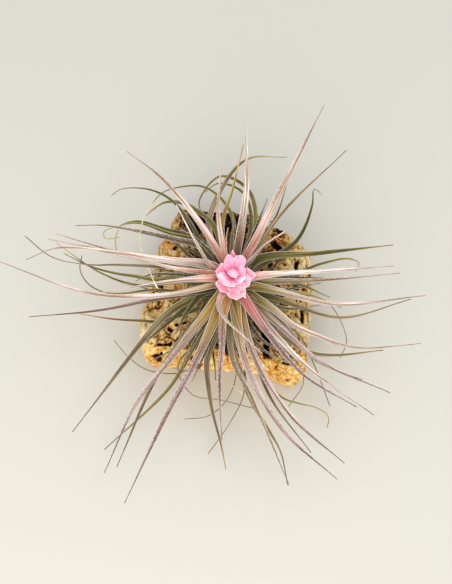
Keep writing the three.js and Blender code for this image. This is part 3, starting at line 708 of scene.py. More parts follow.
class Finish:
    """A procedural material."""

    name: str

    def surface(self, graph: Graph) -> dict[str, Setting]:
        """The inputs of the surface shader."""
        raise NotImplementedError

    def make(self) -> bpy.types.Material:
        """Builds the material.

        Returns:
            The material, whose surface shader has the finish's inputs.
        """
        material = bpy.data.materials.new(self.name)
        material.use_nodes = True
        graph = Graph(material.node_tree)
        shader = graph.add("ShaderNodeBsdfPrincipled", {}, self.surface(graph), "BSDF")
        out = graph.tree.nodes.new("ShaderNodeOutputMaterial")
        graph.tree.links.new(shader.socket, out.inputs["Surface"])
        return material


@dataclass(frozen=True)
class LeafFinish(Finish):
    """Leaf skin: its tone, silvery scales in rows, fine ribs along the blade, darker patches, a painted
    shade along the middle's fold, a painted highlight band along the middle of some blades, and pale dry
    margins that are partly a painted highlight.

    Its spans are where a mark starts and where it is full, across the blade, along it or in its noise,
    except that rib_dark, fold_shade and scale_cover are strengths at the root and on the grown blade.
    """

    name: str = "leaf"
    silver: float = 0.3
    # rim and margin_and_highlight_tone make the pale margins: partly the margins' own dry paleness and
    # partly a painted highlight along the raised edges.
    rim: float = 0.5
    scale_tone: Tint = (230, 214, 206)
    margin_and_highlight_tone: Tint = (246, 234, 226)
    # painted_highlight_tone is the colour of a painted highlight along the middle of a blade.
    painted_highlight_tone: Tint = (196, 190, 122)
    # The darker tone of the ribs, the sides and the darker patches, and of the painted shade along the
    # fold.
    dark_and_shade: tuple[float, float, float, float] = (0.32, 0.22, 0.115, 1)
    grown: Span = (0.12, 0.5)
    ribs: Mottle = Mottle(1, (1500, 36, 0), 2)
    scales: Mottle = Mottle(1, (2100, 900, 0), 1)
    patches: Mottle = Mottle(1, (160, 60, 0), 3)
    rib_edge: Span = (0.57, 0.43)
    rib_dark: Span = (0.3, 0.95)
    fold_shade_reach: Span = (0.04, 0.35)
    fold_shade: Span = (0.2, 0.55)
    shoulder: Span = (0.5, 0.72)
    shoulder_dark: float = 0.3
    band: Span = (0.1, 0.34)
    patch_edge: Span = (0.58, 0.36)
    patch_dark: float = 0.35
    scale_edge: Span = (0.46, 0.64)
    scale_reach: Span = (0.12, 0.45)
    scale_cover: Span = (0.15, 1.0)
    margin: Span = (0.86, 0.96)
    rough: Span = (0.42, 0.62)
    rib_relief: float = 0.7
    scale_relief: float = 0.5
    bump_strength: float = 0.35
    bump_depth: float = 0.0003
    shine: float = 0.4

    def surface(self, graph: Graph) -> dict[str, Setting]:
        """Lays scales, ribs and margins over the tone that is kept on the mesh.

        Args:
            graph: The material's tree.

        Returns:
            The inputs of the surface shader.
        """
        place = graph.add("ShaderNodeUVMap", {"uv_map": BLADE_MAP})
        across = abs(graph.attribute("across"))
        grown = graph.attribute("along").step(*self.grown)
        ribs = graph.mottle(place, self.ribs)
        scales = graph.mottle(place, self.scales)
        patches = graph.mottle(place, self.patches)
        tone = graph.attribute("tone", "Color")
        dark = graph.blend(1.0, tone, self.dark_and_shade, "MULTIPLY")
        ribbed = graph.blend(ribs.step(*self.rib_edge) * grown.between(*self.rib_dark), tone, dark)
        # Painted shade: the middle of the blade darkened along its fold, where the gutter lies in shade.
        folded = graph.blend((1 - across.step(*self.fold_shade_reach)) * grown.between(*self.fold_shade), ribbed, dark)
        lined = graph.blend(across.step(*self.shoulder) * self.shoulder_dark, folded, dark)
        # Painted highlight: a pale stripe along the middle of the blade, where it catches the light.
        middle = graph.attribute("band") * (1 - across.step(*self.band))
        highlighted = graph.blend(middle, lined, linear(*self.painted_highlight_tone))
        patched = graph.blend(patches.step(*self.patch_edge) * self.patch_dark, highlighted, dark)
        rows = scales.step(*self.scale_edge) * across.step(*self.scale_reach)
        cover = rows * grown.between(*self.scale_cover) * self.silver
        scaled = graph.blend(cover, patched, linear(*self.scale_tone))
        # Pale margins: partly their own dry paleness and partly a painted highlight along the raised
        # edges.
        colour = graph.blend(across.step(*self.margin) * self.rim, scaled, linear(*self.margin_and_highlight_tone))
        relief = ribs * self.rib_relief + scales * self.scale_relief
        return {
            "Base Color": colour,
            "Roughness": scales.between(*self.rough),
            "Normal": graph.bump(relief, self.bump_strength, self.bump_depth),
            "Specular IOR Level": self.shine,
        }


@dataclass(frozen=True)
class BractFinish(Finish):
    """Bract skin: pink that pales towards the margins, with faint veins along it, a painted shade of
    deeper pink at the foot down in the cup, and painted light that pales it towards the tip.
    """

    name: str = "bract"
    # deep is both the veins' pink and the painted shade at the foot; pale is both the clouds' pink and
    # the painted light.
    deep: Tint = (240, 96, 146)
    mid: Tint = (252, 152, 184)
    pale: Tint = (255, 212, 226)
    edge: Tint = (255, 240, 228)
    veins: Mottle = Mottle(1, (1100, 90, 0), 2)
    clouds: Mottle = Mottle(1, (260, 180, 0), 2)
    body: Span = (0.15, 0.8)
    cloud_edge: Span = (0.35, 0.7)
    cloud_cover: float = 0.3
    # Where along a bract its painted light comes in.
    glow: Span = (0.1, 0.55)
    vein_edge: Span = (0.58, 0.38)
    vein_cover: float = 0.16
    side_margin: Span = (0.72, 1.0)
    tip_margin: Span = (0.86, 1.0)
    rough: Span = (0.42, 0.57)
    bump_strength: float = 0.25
    bump_depth: float = 0.0003
    soft: float = 0.3
    soft_reach: Stop = (0.003, 0.001, 0.001)
    soft_scale: float = 0.7

    def surface(self, graph: Graph) -> dict[str, Setting]:
        """Pinks from the foot to the tip, paled by painted light, veined, with a pale lit edge.

        Args:
            graph: The material's tree.

        Returns:
            The inputs of the surface shader.
        """
        place = graph.add("ShaderNodeUVMap", {"uv_map": BLADE_MAP})
        across = abs(graph.attribute("across"))
        along = graph.attribute("along")
        veins = graph.mottle(place, self.veins)
        clouds = graph.mottle(place, self.clouds)
        # Painted shade: deep pink at the foot, down in the hollow of the cup, giving way to mid pink
        # along the bract.
        body = graph.blend(along.step(*self.body), linear(*self.deep), linear(*self.mid))
        cloudy = graph.blend(clouds.step(*self.cloud_edge) * self.cloud_cover, body, linear(*self.pale))
        # Painted light: each bract's glow pales it towards the tip, where it faces the light.
        lit = graph.attribute("glow") * along.step(*self.glow)
        glowing = graph.blend(lit, cloudy, linear(*self.pale))
        veined = graph.blend(veins.step(*self.vein_edge) * self.vein_cover, glowing, linear(*self.deep))
        margins = {0: across.step(*self.side_margin), 1: along.step(*self.tip_margin)}
        margin = graph.add("ShaderNodeMath", {"operation": "MAXIMUM"}, margins)
        return {
            "Base Color": graph.blend(margin * graph.attribute("rim"), veined, linear(*self.edge)),
            "Roughness": clouds.between(*self.rough),
            "Normal": graph.bump(veins, self.bump_strength, self.bump_depth),
            "Subsurface Weight": self.soft,
            "Subsurface Radius": self.soft_reach,
            "Subsurface Scale": self.soft_scale,
        }


@dataclass(frozen=True)
class HeartFinish(Finish):
    """The heart of the flower head: rose at its foot, and orange-brown at its top, a painted shadow in
    the slit where the bracts part.
    """

    name: str = "flower_heart"
    foot: Tint = (228, 92, 132)
    # The orange-brown is a painted shadow in the slit between the bracts; turn is the heights in mm over
    # which it comes in.
    painted_slit_shadow: Tint = (206, 112, 70)
    turn: Span = (58.8, 59.6)
    rough: float = 0.6

    def surface(self, graph: Graph) -> dict[str, Setting]:
        """Colours the heart by height: rose below, and the orange-brown painted shadow above.

        Args:
            graph: The material's tree.

        Returns:
            The inputs of the surface shader.
        """
        low, high = (height * MM for height in self.turn)
        # Painted shadow: orange-brown from these heights up, where the slit between the bracts lies in
        # shade.
        colour = graph.blend(graph.place("Z").step(low, high), linear(*self.foot), linear(*self.painted_slit_shadow))
        return {"Base Color": colour, "Roughness": self.rough}


@dataclass(frozen=True)
class CorkFinish(Finish):
    """Virgin cork: brown and ochre plates with black fissures on top, and a bright granular cut face,
    coloured by a relief value that also carries painted light and shade.
    """

    name: str = "cork"
    bark_stops: tuple[tuple[float, Tint], ...] = (
        (0.0, (18, 12, 6)), (0.16, (66, 40, 18)), (0.31, (132, 88, 42)), (0.44, (184, 136, 72)),
        (0.58, (220, 180, 106)), (0.76, (242, 212, 146)), (1.0, (250, 234, 186)),
    )
    flesh_stops: tuple[tuple[float, Tint], ...] = (
        (0.0, (22, 11, 6)), (0.17, (98, 48, 18)), (0.34, (196, 116, 42)), (0.52, (230, 164, 72)),
        (0.7, (246, 200, 114)), (0.95, (254, 234, 178)),
    )
    rust: tuple[float, float, float, float] = (1.0, 0.6, 0.34, 1)
    growth_line: Tint = (150, 70, 24)
    grey: Tint = (160, 148, 104)
    broad: Mottle = Mottle(95, None, 3, 0.6)
    grain: Mottle = Mottle(820, (1, 1, 0.45), 4, 0.7)
    stains: Mottle = Mottle(150, (1, 0.45, 1), 3, 0.6)
    growth: Mottle = Mottle(130, (1, 1, 1.6), 2, 0.5)
    crumbs: float = 700
    bark_mix: Span = (1.5, 0.5)
    flesh_mix: Span = (0.9, 0.3)
    grey_edge: Span = (0.5, 0.7)
    grey_cover: float = 0.14
    rust_edge: Span = (0.5, 0.64)
    rust_cover: float = 0.7
    cut_rust_edge: Span = (0.56, 0.68)
    cut_rust_cover: float = 0.4
    line_edge: Span = (0.003, 0.016)
    line_cover: float = 0.85
    crumb_relief: float = 0.4
    bump_strength: float = 0.9
    bump_depth: float = 0.0009
    rough: float = 0.92
    shine: float = 0.25

    @staticmethod
    def ramp(graph: Graph, share: Wire, stops: Iterable[tuple[float, Tint]]) -> Wire:
        """The colour of a share along stops."""
        colours = [(place, linear(*tone)) for place, tone in stops]
        return graph.add("ShaderNodeValToRGB", {"stops": colours}, {"Fac": share}, "Color")

    def surface(self, graph: Graph) -> dict[str, Setting]:
        """Colours the bark by its relief and by whether the face is cut, under three sizes of mottling.

        Args:
            graph: The material's tree.

        Returns:
            The inputs of the surface shader.
        """
        place = graph.place()
        relief = graph.attribute("relief")
        broad = graph.mottle(place, self.broad)
        grain = graph.mottle(place, self.grain)
        stains = graph.mottle(place, self.stains)
        cells = {"Vector": graph.scaled(place, self.grain.stretch), "Scale": self.crumbs}
        crumbs = graph.add("ShaderNodeTexVoronoi", {"feature": "F1"}, cells, "Distance")
        plates, flesh = (
            self.ramp(graph, relief + (grain - 0.5) * fine + (broad - 0.5) * coarse, stops)
            for (fine, coarse), stops in (
                (self.bark_mix, self.bark_stops),
                (self.flesh_mix, self.flesh_stops),
            )
        )
        greyed = graph.blend(broad.step(*self.grey_edge) * self.grey_cover, plates, linear(*self.grey))
        rusty = graph.blend(stains.step(*self.rust_edge) * self.rust_cover, greyed, self.rust, "MULTIPLY")
        waves = abs(graph.mottle(place, self.growth) - 0.5)
        lines = (1 - waves.step(*self.line_edge)) * self.line_cover
        ringed = graph.blend(lines, flesh, linear(*self.growth_line))
        seeped = stains.step(*self.cut_rust_edge) * self.cut_rust_cover
        stained = graph.blend(seeped, ringed, self.rust, "MULTIPLY")
        return {
            "Base Color": graph.blend(graph.attribute("cut"), rusty, stained),
            "Roughness": self.rough,
            "Normal": graph.bump(grain + crumbs * self.crumb_relief, self.bump_strength, self.bump_depth),
            "Specular IOR Level": self.shine,
        }


@dataclass(frozen=True)
class ThreadFinish(Finish):
    """Dry plant string: mottled straw, darker where it hangs outermost."""

    name: str = "dry_thread"
    straw: Tint = (206, 192, 142)
    pale: Tint = (240, 234, 206)
    outer: Tint = (168, 152, 96)
    fibres: Mottle = Mottle(900, None, 3)
    fibre_edge: Span = (0.35, 0.65)
    outer_from: Span = (-50, -56)
    rough: float = 0.8

    def surface(self, graph: Graph) -> dict[str, Setting]:
        """Mottles the straw and darkens its outermost loop.

        Args:
            graph: The material's tree.

        Returns:
            The inputs of the surface shader.
        """
        fibres = graph.mottle(graph.place(), self.fibres)
        straw = graph.blend(fibres.step(*self.fibre_edge), linear(*self.straw), linear(*self.pale))
        start, full = (place * MM for place in self.outer_from)
        colour = graph.blend(graph.place("X").step(start, full), straw, linear(*self.outer))
        return {"Base Color": colour, "Roughness": self.rough}


@dataclass(frozen=True)
class FloorFinish(Finish):
    """The pale floor."""

    name: str = "floor"
    tone: Tint = (198, 196, 187)
    rough: float = 0.9
    shine: float = 0.1

    def surface(self, graph: Graph) -> dict[str, Setting]:
        """One even pale tone."""
        tone = linear(*self.tone)
        return {"Base Color": tone, "Roughness": self.rough, "Specular IOR Level": self.shine}


@dataclass
class Spine:
    """The middle line of a blade.

    Attributes:
        at: How far along it each point is, from 0 to 1.
        points: The points, in mm.
        sides: The direction across the blade at each.
        ups: The direction of its upper face at each.
        length: Its length, in mm.
    """

    at: np.ndarray
    points: np.ndarray
    sides: np.ndarray
    ups: np.ndarray
    length: float


def dense_curve(stops: np.ndarray, per_span: int = 24) -> np.ndarray:
    """Closely spaced points on a smooth curve through stops, with centripetal spacing.

    Args:
        stops: The points that the curve passes through.
        per_span: How many points stand in for each span.

    Returns:
        The points from the first stop to the last.
    """
    before = 2 * stops[0] - stops[1]
    after = 2 * stops[-1] - stops[-2]
    chain = np.vstack([before, stops, after])
    shares = np.linspace(0, 1, per_span, endpoint=False)[:, None]
    parts = []
    for a, b, c, d in zip(chain[:-3], chain[1:-2], chain[2:-1], chain[3:]):
        gaps = [math.sqrt(np.linalg.norm(q - p)) for p, q in ((a, b), (b, c), (c, d))]
        leave = ((b - a) / gaps[0] - (c - a) / (gaps[0] + gaps[1]) + (c - b) / gaps[1]) * gaps[1]
        arrive = ((c - b) / gaps[1] - (d - b) / (gaps[1] + gaps[2]) + (d - c) / gaps[2]) * gaps[1]
        cubic = 2 * b - 2 * c + leave + arrive
        square = -3 * b + 3 * c - 2 * leave - arrive
        parts.append(((cubic * shares + square) * shares + leave) * shares + b)
    return np.vstack([*parts, stops[-1]])


def spine_along(dense: np.ndarray, pitch: float, least_steps: int = 10) -> Spine:
    """An evenly stepped spine on a dense curve, whose blade faces up at its root.

    Args:
        dense: Closely spaced points, in mm.
        pitch: The step along the curve, in mm.
        least_steps: The least number of steps.

    Returns:
        The spine, whose upward direction is carried along without twist.
    """
    reach = np.concatenate([[0.0], np.cumsum(np.linalg.norm(np.diff(dense, axis=0), axis=1))])
    count = max(least_steps, round(reach[-1] / pitch))
    at = np.linspace(0, 1, count + 1)
    points = np.stack([np.interp(at * reach[-1], reach, dense[:, axis]) for axis in range(3)], axis=1)
    tangents = np.gradient(points, axis=0)
    tangents /= np.linalg.norm(tangents, axis=1)[:, None]
    ups = np.zeros_like(points)
    up = np.array(UP)
    for index, tangent in enumerate(tangents):
        up = up - tangent * up.dot(tangent)
        up = up / np.linalg.norm(up)
        ups[index] = up
    return Spine(at, points, np.cross(tangents, ups), ups, float(reach[-1]))


@dataclass(frozen=True)
class Channel:
    """How a blade is cupped.

    Attributes:
        cup: How far its margins rise, as a share of half its width.
        power: How flat its middle is.
        margin: How thick its margins are, as a share of its middle's thickness.
        ripple: How far its margins wave, as a share of half its width.
    """

    cup: float
    power: float
    margin: float
    ripple: float

    def sizes(self) -> dict[str, float]:
        """The blade rule's inputs."""
        return {"Cup": self.cup, "Cup Power": self.power, "Margin": self.margin, "Ripple": self.ripple}


class ShapeRule:
    """A Geometry Nodes tree with a named input for each size, run once on each mesh it starts from."""

    KINDS = {float: "NodeSocketFloat", int: "NodeSocketInt"}

    def __init__(self, name: str, sizes: dict[str, float]) -> None:
        """Starts the tree.

        Args:
            name: The tree's name.
            sizes: The usual value of each size, by name.
        """
        tree = bpy.data.node_groups.new(name, "GeometryNodeTree")
        face = tree.interface
        face.new_socket("Geometry", in_out="INPUT", socket_type="NodeSocketGeometry")
        self.ids = {}
        for label, value in sizes.items():
            socket = face.new_socket(label, in_out="INPUT", socket_type=self.KINDS[type(value)])
            socket.default_value = value
            self.ids[label] = socket.identifier
        face.new_socket("Geometry", in_out="OUTPUT", socket_type="NodeSocketGeometry")
        self.graph = Graph(tree)
        group = tree.nodes.new("NodeGroupInput")
        self.start = Wire(self.graph, group.outputs["Geometry"])
        self.size = {label: Wire(self.graph, group.outputs[label]) for label in sizes}

    def named(self, name: str, kind: str) -> Wire:
        """A value that is kept on the start mesh."""
        settings = {"data_type": kind}
        return self.graph.add("GeometryNodeInputNamedAttribute", settings, {"Name": name}, "Attribute")

    def finish(self, geometry: Wire, material: bpy.types.Material) -> None:
        """Ends the tree: its instances made real and covered with a material.

        Args:
            geometry: What the tree has made.
            material: What it is covered with.
        """
        real = self.graph.add("GeometryNodeRealizeInstances", {}, {"Geometry": geometry})
        covered = self.graph.add("GeometryNodeSetMaterial", {}, {"Geometry": real, "Material": material})
        out = self.graph.tree.nodes.new("NodeGroupOutput")
        self.graph.tree.links.new(covered.socket, out.inputs[0])

    def run(self, start: bpy.types.Mesh, sizes: dict[str, float]) -> bpy.types.Mesh:
        """Runs the tree on a mesh.

        Args:
            start: The mesh. An object that shows it is made, and removed afterwards.
            sizes: The sizes for this run, by name.

        Returns:
            The plain mesh that results.
        """
        source = placed(start.name, start)
        modifier = source.modifiers.new("shape", "NODES")
        modifier.node_group = self.graph.tree
        for label, value in sizes.items():
            modifier[self.ids[label]] = value
        seen = source.evaluated_get(bpy.context.evaluated_depsgraph_get())
        mesh = bpy.data.meshes.new_from_object(seen)
        source.modifiers.remove(modifier)
        bpy.data.objects.remove(source)
        return mesh


class BladeRule(ShapeRule):
    """The rule that opens folded strips into channelled blades."""

    READS = ("half", "thick", "phase", "side", "up")
    WAVES = 21
    WAVE_SLANT = 1.5

    def __init__(self, name: str, channel: Channel, material: bpy.types.Material) -> None:
        """Builds the tree.

        Args:
            name: The tree's name.
            channel: How the blades are cupped.
            material: What they are covered with.
        """
        super().__init__(name, channel.sizes())
        self.channel = channel
        graph = self.graph
        across, half, thick, along, phase = (
            self.named(label, "FLOAT") for label in ("across", "half", "thick", "along", "phase")
        )
        side, up = (self.named(label, "FLOAT_VECTOR") for label in ("side", "up"))
        turn = along * self.WAVES + phase + across * self.WAVE_SLANT
        waves = graph.add("ShaderNodeMath", {"operation": "SINE"}, {0: turn})
        rise = abs(across) ** self.size["Cup Power"] * self.size["Cup"] * half
        ripple = waves * self.size["Ripple"] * half * abs(across)
        skin = thick * (1 - (1 - self.size["Margin"]) * across * across)
        sideways, upward = (
            graph.add("ShaderNodeVectorMath", {"operation": "SCALE"}, {0: way, "Scale": by}, "Vector")
            for way, by in ((side, half * across), (up, rise + ripple + skin))
        )
        offset = graph.add("ShaderNodeVectorMath", {"operation": "ADD"}, {0: sideways, 1: upward})
        opened = graph.add("GeometryNodeSetPosition", {}, {"Geometry": self.start, "Offset": offset})
        self.finish(opened, material)

    def open(self, strips: bpy.types.Mesh) -> bpy.types.Mesh:
        """Opens strips into blades.

        Args:
            strips: The folded strips.

        Returns:
            The blades, without the values that only this rule reads.
        """
        mesh = self.run(strips, self.channel.sizes())
        for label in self.READS:
            mesh.attributes.remove(mesh.attributes[label])
        ease_edges(mesh, SMOOTH_ANGLE)
        return mesh


class ThreadRule(ShapeRule):
    """The rule that turns lines into round threads."""

    def __init__(self, sizes: dict[str, float], material: bpy.types.Material) -> None:
        """Builds the tree.

        Args:
            sizes: The usual radius, in metres, and the number of sides.
            material: What the threads are covered with.
        """
        super().__init__("thread_rule", sizes)
        graph = self.graph
        curve = graph.add("GeometryNodeMeshToCurve", {}, {"Mesh": self.start})
        circle = {"Resolution": self.size["Sides"], "Radius": self.size["Radius"]}
        ring = graph.add("GeometryNodeCurvePrimitiveCircle", {}, circle)
        swept = {"Curve": curve, "Profile Curve": ring, "Fill Caps": True}
        self.finish(graph.add("GeometryNodeCurveToMesh", {}, swept), material)


def placed(name: str, mesh: bpy.types.Mesh) -> bpy.types.Object:
    """An object at the origin that shows a mesh."""
    piece = bpy.data.objects.new(name, mesh)
    bpy.context.scene.collection.objects.link(piece)
    return piece


def ringed_faces(rows: int, sides: int, start: int = 0) -> list[tuple[int, ...]]:
    """The faces of rings of points that stand in rows, closed at both ends.

    Args:
        rows: How many rings there are.
        sides: How many points each has.
        start: The number of the first point.

    Returns:
        The faces, each as the numbers of its corners.
    """
    faces: list[tuple[int, ...]] = []
    for row in range(rows - 1):
        for side in range(sides):
            a = start + row * sides + side
            b = start + row * sides + (side + 1) % sides
            faces.append((a, b, b + sides, a + sides))
    last = start + (rows - 1) * sides
    faces.append(tuple(reversed(range(start, start + sides))))
    faces.append(tuple(range(last, last + sides)))
    return faces


def ease_edges(mesh: bpy.types.Mesh, angle: float) -> None:
    """Shades a mesh smooth, but for edges sharper than an angle in degrees."""
    mesh.shade_smooth()
    mesh.set_sharp_from_angle(angle=math.radians(angle))


class Strip:
    """Gathers folded strips, one for each blade, and keeps on them what the blade rule reads.

    ASIDE and AHEAD are how far apart the marks of two neighbours are, across and along, in mm.
    """

    ASIDE = 7
    AHEAD = 31
    KINDS = {"side": "FLOAT_VECTOR", "up": "FLOAT_VECTOR", "tone": "FLOAT_COLOR"}
    FIELDS = {"FLOAT": "value", "FLOAT_VECTOR": "vector", "FLOAT_COLOR": "color"}

    def __init__(self, columns: int) -> None:
        """Starts with no strips.

        Args:
            columns: How many points stand across one face of a blade.
        """
        self.columns = columns
        self.vertices: list[np.ndarray] = []
        self.faces: list[tuple[int, ...]] = []
        self.uvs: list[np.ndarray] = []
        self.values: dict[str, list[np.ndarray]] = {}
        self.count = 0

    def keep(self, name: str, values: np.ndarray) -> None:
        """Keeps one value for each point of the blade that is being added."""
        self.values.setdefault(name, []).append(values)

    def add(
        self,
        spine: Spine,
        half: np.ndarray,
        thick: np.ndarray,
        marks: dict[str, np.ndarray | float],
        phase: float,
    ) -> None:
        """Adds one blade.

        Args:
            spine: Its middle line.
            half: Half its width at each step, in mm.
            thick: Half its thickness at each step, in mm.
            marks: What its finish reads, by name, for each step or for the whole blade.
            phase: Where its ripple starts, which also sets its marks apart from its neighbours'.
        """
        rows = len(spine.at)
        ring = self.columns * 2
        line = np.linspace(-1, 1, self.columns)
        across = np.concatenate([line, line[::-1]])
        face = np.concatenate([np.ones(self.columns), -np.ones(self.columns)])
        self.vertices.append(np.repeat(spine.points, ring, axis=0) * MM)
        self.keep("across", np.tile(across, rows))
        self.keep("half", np.repeat(half, ring) * MM)
        self.keep("thick", (thick[:, None] * face[None, :]).ravel() * MM)
        self.keep("along", np.repeat(spine.at, ring))
        self.keep("phase", np.full(rows * ring, phase))
        self.keep("side", np.repeat(spine.sides, ring, axis=0))
        self.keep("up", np.repeat(spine.ups, ring, axis=0))
        for name, values in marks.items():
            steps = np.full(rows, values) if np.isscalar(values) else values
            self.keep(name, np.repeat(steps, ring, axis=0))
        width = (half[:, None] * across[None, :]) + phase * self.ASIDE
        length = np.repeat(spine.at * spine.length, ring).reshape(rows, ring) + phase * self.AHEAD
        self.uvs.append(np.stack([width.ravel(), length.ravel()], axis=1) * MM)
        self.faces.extend(ringed_faces(rows, ring, self.count))
        self.count += rows * ring

    def mesh(self, name: str) -> bpy.types.Mesh:
        """Makes one mesh of the gathered strips.

        Args:
            name: The mesh's name.

        Returns:
            The mesh, with the kept values and the blades' UV map.
        """
        mesh = bpy.data.meshes.new(name)
        mesh.from_pydata(np.vstack(self.vertices), [], self.faces)
        for label, parts in self.values.items():
            kind = self.KINDS.get(label, "FLOAT")
            layer = mesh.attributes.new(label, kind, "POINT")
            layer.data.foreach_set(self.FIELDS[kind], np.concatenate(parts).astype(np.float32).ravel())
        corners = np.empty(len(mesh.loops), dtype=np.int32)
        mesh.loops.foreach_get("vertex_index", corners)
        uv_layer = mesh.uv_layers.new(name=BLADE_MAP)
        uv_layer.uv.foreach_set("vector", np.vstack(self.uvs)[corners].astype(np.float32).ravel())
        return mesh


@dataclass
class LeafWhorl:
    """One length of the stem with its leaves, which stands for a CAD node.

    Attributes:
        node: The CAD node and the piece's name.
        slot: The material slot's name, which is not used.
        leaves: The leaves, oldest first.
        under: The rule for the shorter leaves beneath.
        roots: Heights between which the leaves are rooted.
        under_roots: Heights between which the shorter leaves are rooted.
        core: The stem's profile, as radius and height steps.
        finish: The leaf skin.
        clasping: The rule for short leaves that clasp the stem, where it has them.
        core_tone: The stem's colour.
        pitch: The step along a blade, in mm.
        columns: How many points stand across one face of a blade.
        thick: Half a blade's thickness at its root, in mm.
        tip_thick: Half its thickness at its tip, in mm.
        least_half: The least half width of a blade, in mm.
        channel: How the blades are cupped.
        sheath_end: Where along a blade its sheathing base narrows.
        root_width: How broad a blade would be at its root before it is capped, as a share of its width.
        tip_loss: How much narrower its outline grows towards its tip.
        change_reach: How far to each side of its change a leaf's colour turns.
        dry_slope: What a leaf's dry place is multiplied by to say where it is fully dry.
        dry_end: What is added to that.
        painted_highlight_from: Where along a blade its pale middle, a painted highlight, comes in.
        under_phase: What sets the shorter leaves' marks apart.
        clasp_phase: What sets the clasping leaves' marks apart.
    """

    node: str
    slot: str
    leaves: tuple[Leaf, ...]
    under: UnderRule
    roots: Span
    under_roots: Span
    core: tuple[Span, ...]
    finish: LeafFinish
    clasping: ClaspRule | None = None
    core_tone: Tone = Tone.OCHRE
    pitch: float = 2.6
    columns: int = 9
    thick: float = 0.34
    tip_thick: float = 0.18
    least_half: float = 0.26
    channel: Channel = Channel(cup=0.72, power=1.15, margin=0.25, ripple=0.1)
    sheath_end: Span = (0.08, 0.38)
    root_width: float = 1.1
    tip_loss: float = 0.35
    change_reach: float = 0.16
    dry_slope: float = 0.2
    dry_end: float = 0.82
    painted_highlight_from: Span = (0.35, 0.6)
    under_phase: float = 0.5
    clasp_phase: float = 0.25

    def taper(self, leaf: Leaf, at: np.ndarray) -> np.ndarray:
        """How broad a blade is along its length, as a share of its breadth past its sheathing base."""
        sheath = leaf.sheath * (1 - smooth(at, *self.sheath_end))
        blade = np.minimum(1, (1 - at) ** leaf.fade * self.root_width)
        return blade * (1 - self.tip_loss * at * at) + sheath

    def shorter(self) -> list[Leaf]:
        """Draws the shorter leaves under the broader ones, turned a little to one side.

        Returns:
            The leaves, in the order of those above them.
        """
        rule = self.under
        angle = math.radians(rule.turn)
        turned = []
        for leaf in self.leaves:
            if leaf.width < rule.broad:
                continue
            route = []
            for x, y, z in leaf.route:
                out_x, out_y = (x - STEM[0]) * rule.share, (y - STEM[1]) * rule.share
                height = max(rule.least, rule.level + (z - rule.level) * rule.share - rule.drop)
                route.append((
                    STEM[0] + out_x * math.cos(angle) - out_y * math.sin(angle),
                    STEM[1] + out_x * math.sin(angle) + out_y * math.cos(angle),
                    height,
                ))
            # Painted shade: the shorter leaves are darkest at their roots, where they lie in shade under
            # the others.
            tones = (Tone.DEEP_SHADE, Tone.DARK_GREEN, Tone.OLIVE)
            turned.append(Leaf(leaf.width * rule.slim, *tones, tuple(route), leaf.sheath))
        return turned

    def tones(self, leaf: Leaf, at: np.ndarray) -> np.ndarray:
        """The leaf's colour at each step: root, body, and a tip that has dried.

        Args:
            leaf: The leaf.
            at: How far along it each step is.

        Returns:
            One linear colour for each step.
        """
        root, body, tip = (tone.shade[None, :] for tone in (leaf.root, leaf.body, leaf.tip))
        grown = smooth(at, leaf.change - self.change_reach, leaf.change + self.change_reach)[:, None]
        dried = smooth(at, leaf.dry, leaf.dry * self.dry_slope + self.dry_end)[:, None]
        return (root * (1 - grown) + body * grown) * (1 - dried) + tip * dried

    def add_leaf(self, strip: Strip, leaf: Leaf, root_height: float, phase: float) -> None:
        """Lays one leaf's strip.

        Args:
            strip: What gathers the strips.
            leaf: The leaf.
            root_height: How high on the stem it is rooted, in mm.
            phase: What sets its marks apart from its neighbours'.
        """
        stops = np.array([(*STEM, root_height), *leaf.route], dtype=float)
        spine = spine_along(dense_curve(stops), self.pitch)
        half = np.maximum(self.least_half, leaf.width / 2 * self.taper(leaf, spine.at))
        thick = self.thick + (self.tip_thick - self.thick) * spine.at
        band = leaf.band * smooth(spine.at, *self.painted_highlight_from)
        strip.add(spine, half, thick, {"tone": self.tones(leaf, spine.at), "band": band}, phase)

    def build(self) -> bpy.types.Object:
        """Builds the leaves and the stem, dresses them and hides the CAD node that they replace.

        Returns:
            The leaves' piece.
        """
        strip = Strip(self.columns)
        groups = [
            (self.shorter(), self.under_roots, self.under_phase),
            (list(self.leaves), self.roots, 0.0),
        ]
        if self.clasping is not None:
            groups.append((self.clasping.leaves(), self.clasping.roots, self.clasp_phase))
        for leaves, (low, high), shift in groups:
            for index, leaf in enumerate(leaves):
                height = low + (high - low) * index / (len(leaves) - 1)
                self.add_leaf(strip, leaf, height, index + shift)
        material = self.finish.make()
        rule = BladeRule(f"{self.node}_blades", self.channel, material)
        piece = placed(f"{self.node}_fine", rule.open(strip.mesh(f"{self.node}_strips")))
        stem = self.stem(material)
        for each in (piece, stem):
            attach(each, BODY)
        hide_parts(self.node)
        return piece

    def stem(self, material: bpy.types.Material) -> bpy.types.Object:
        """Builds the stem inside the leaf bases.

        Args:
            material: The leaf skin.

        Returns:
            The stem's piece, with even values for what the leaf skin reads.
        """
        mesh = turned_mesh(f"{self.node}_stem", self.core, STEM, ROUND_SIDES)
        tone = mesh.attributes.new("tone", "FLOAT_COLOR", "POINT")
        shades = np.tile(self.core_tone.shade, len(mesh.vertices))
        tone.data.foreach_set("color", shades.astype(np.float32))
        for label in ("across", "along", "band"):
            mesh.attributes.new(label, "FLOAT", "POINT")
        mesh.uv_layers.new(name=BLADE_MAP)
        mesh.materials.append(material)
        ease_edges(mesh, SMOOTH_ANGLE)
        return placed(f"{self.node}_stem", mesh)


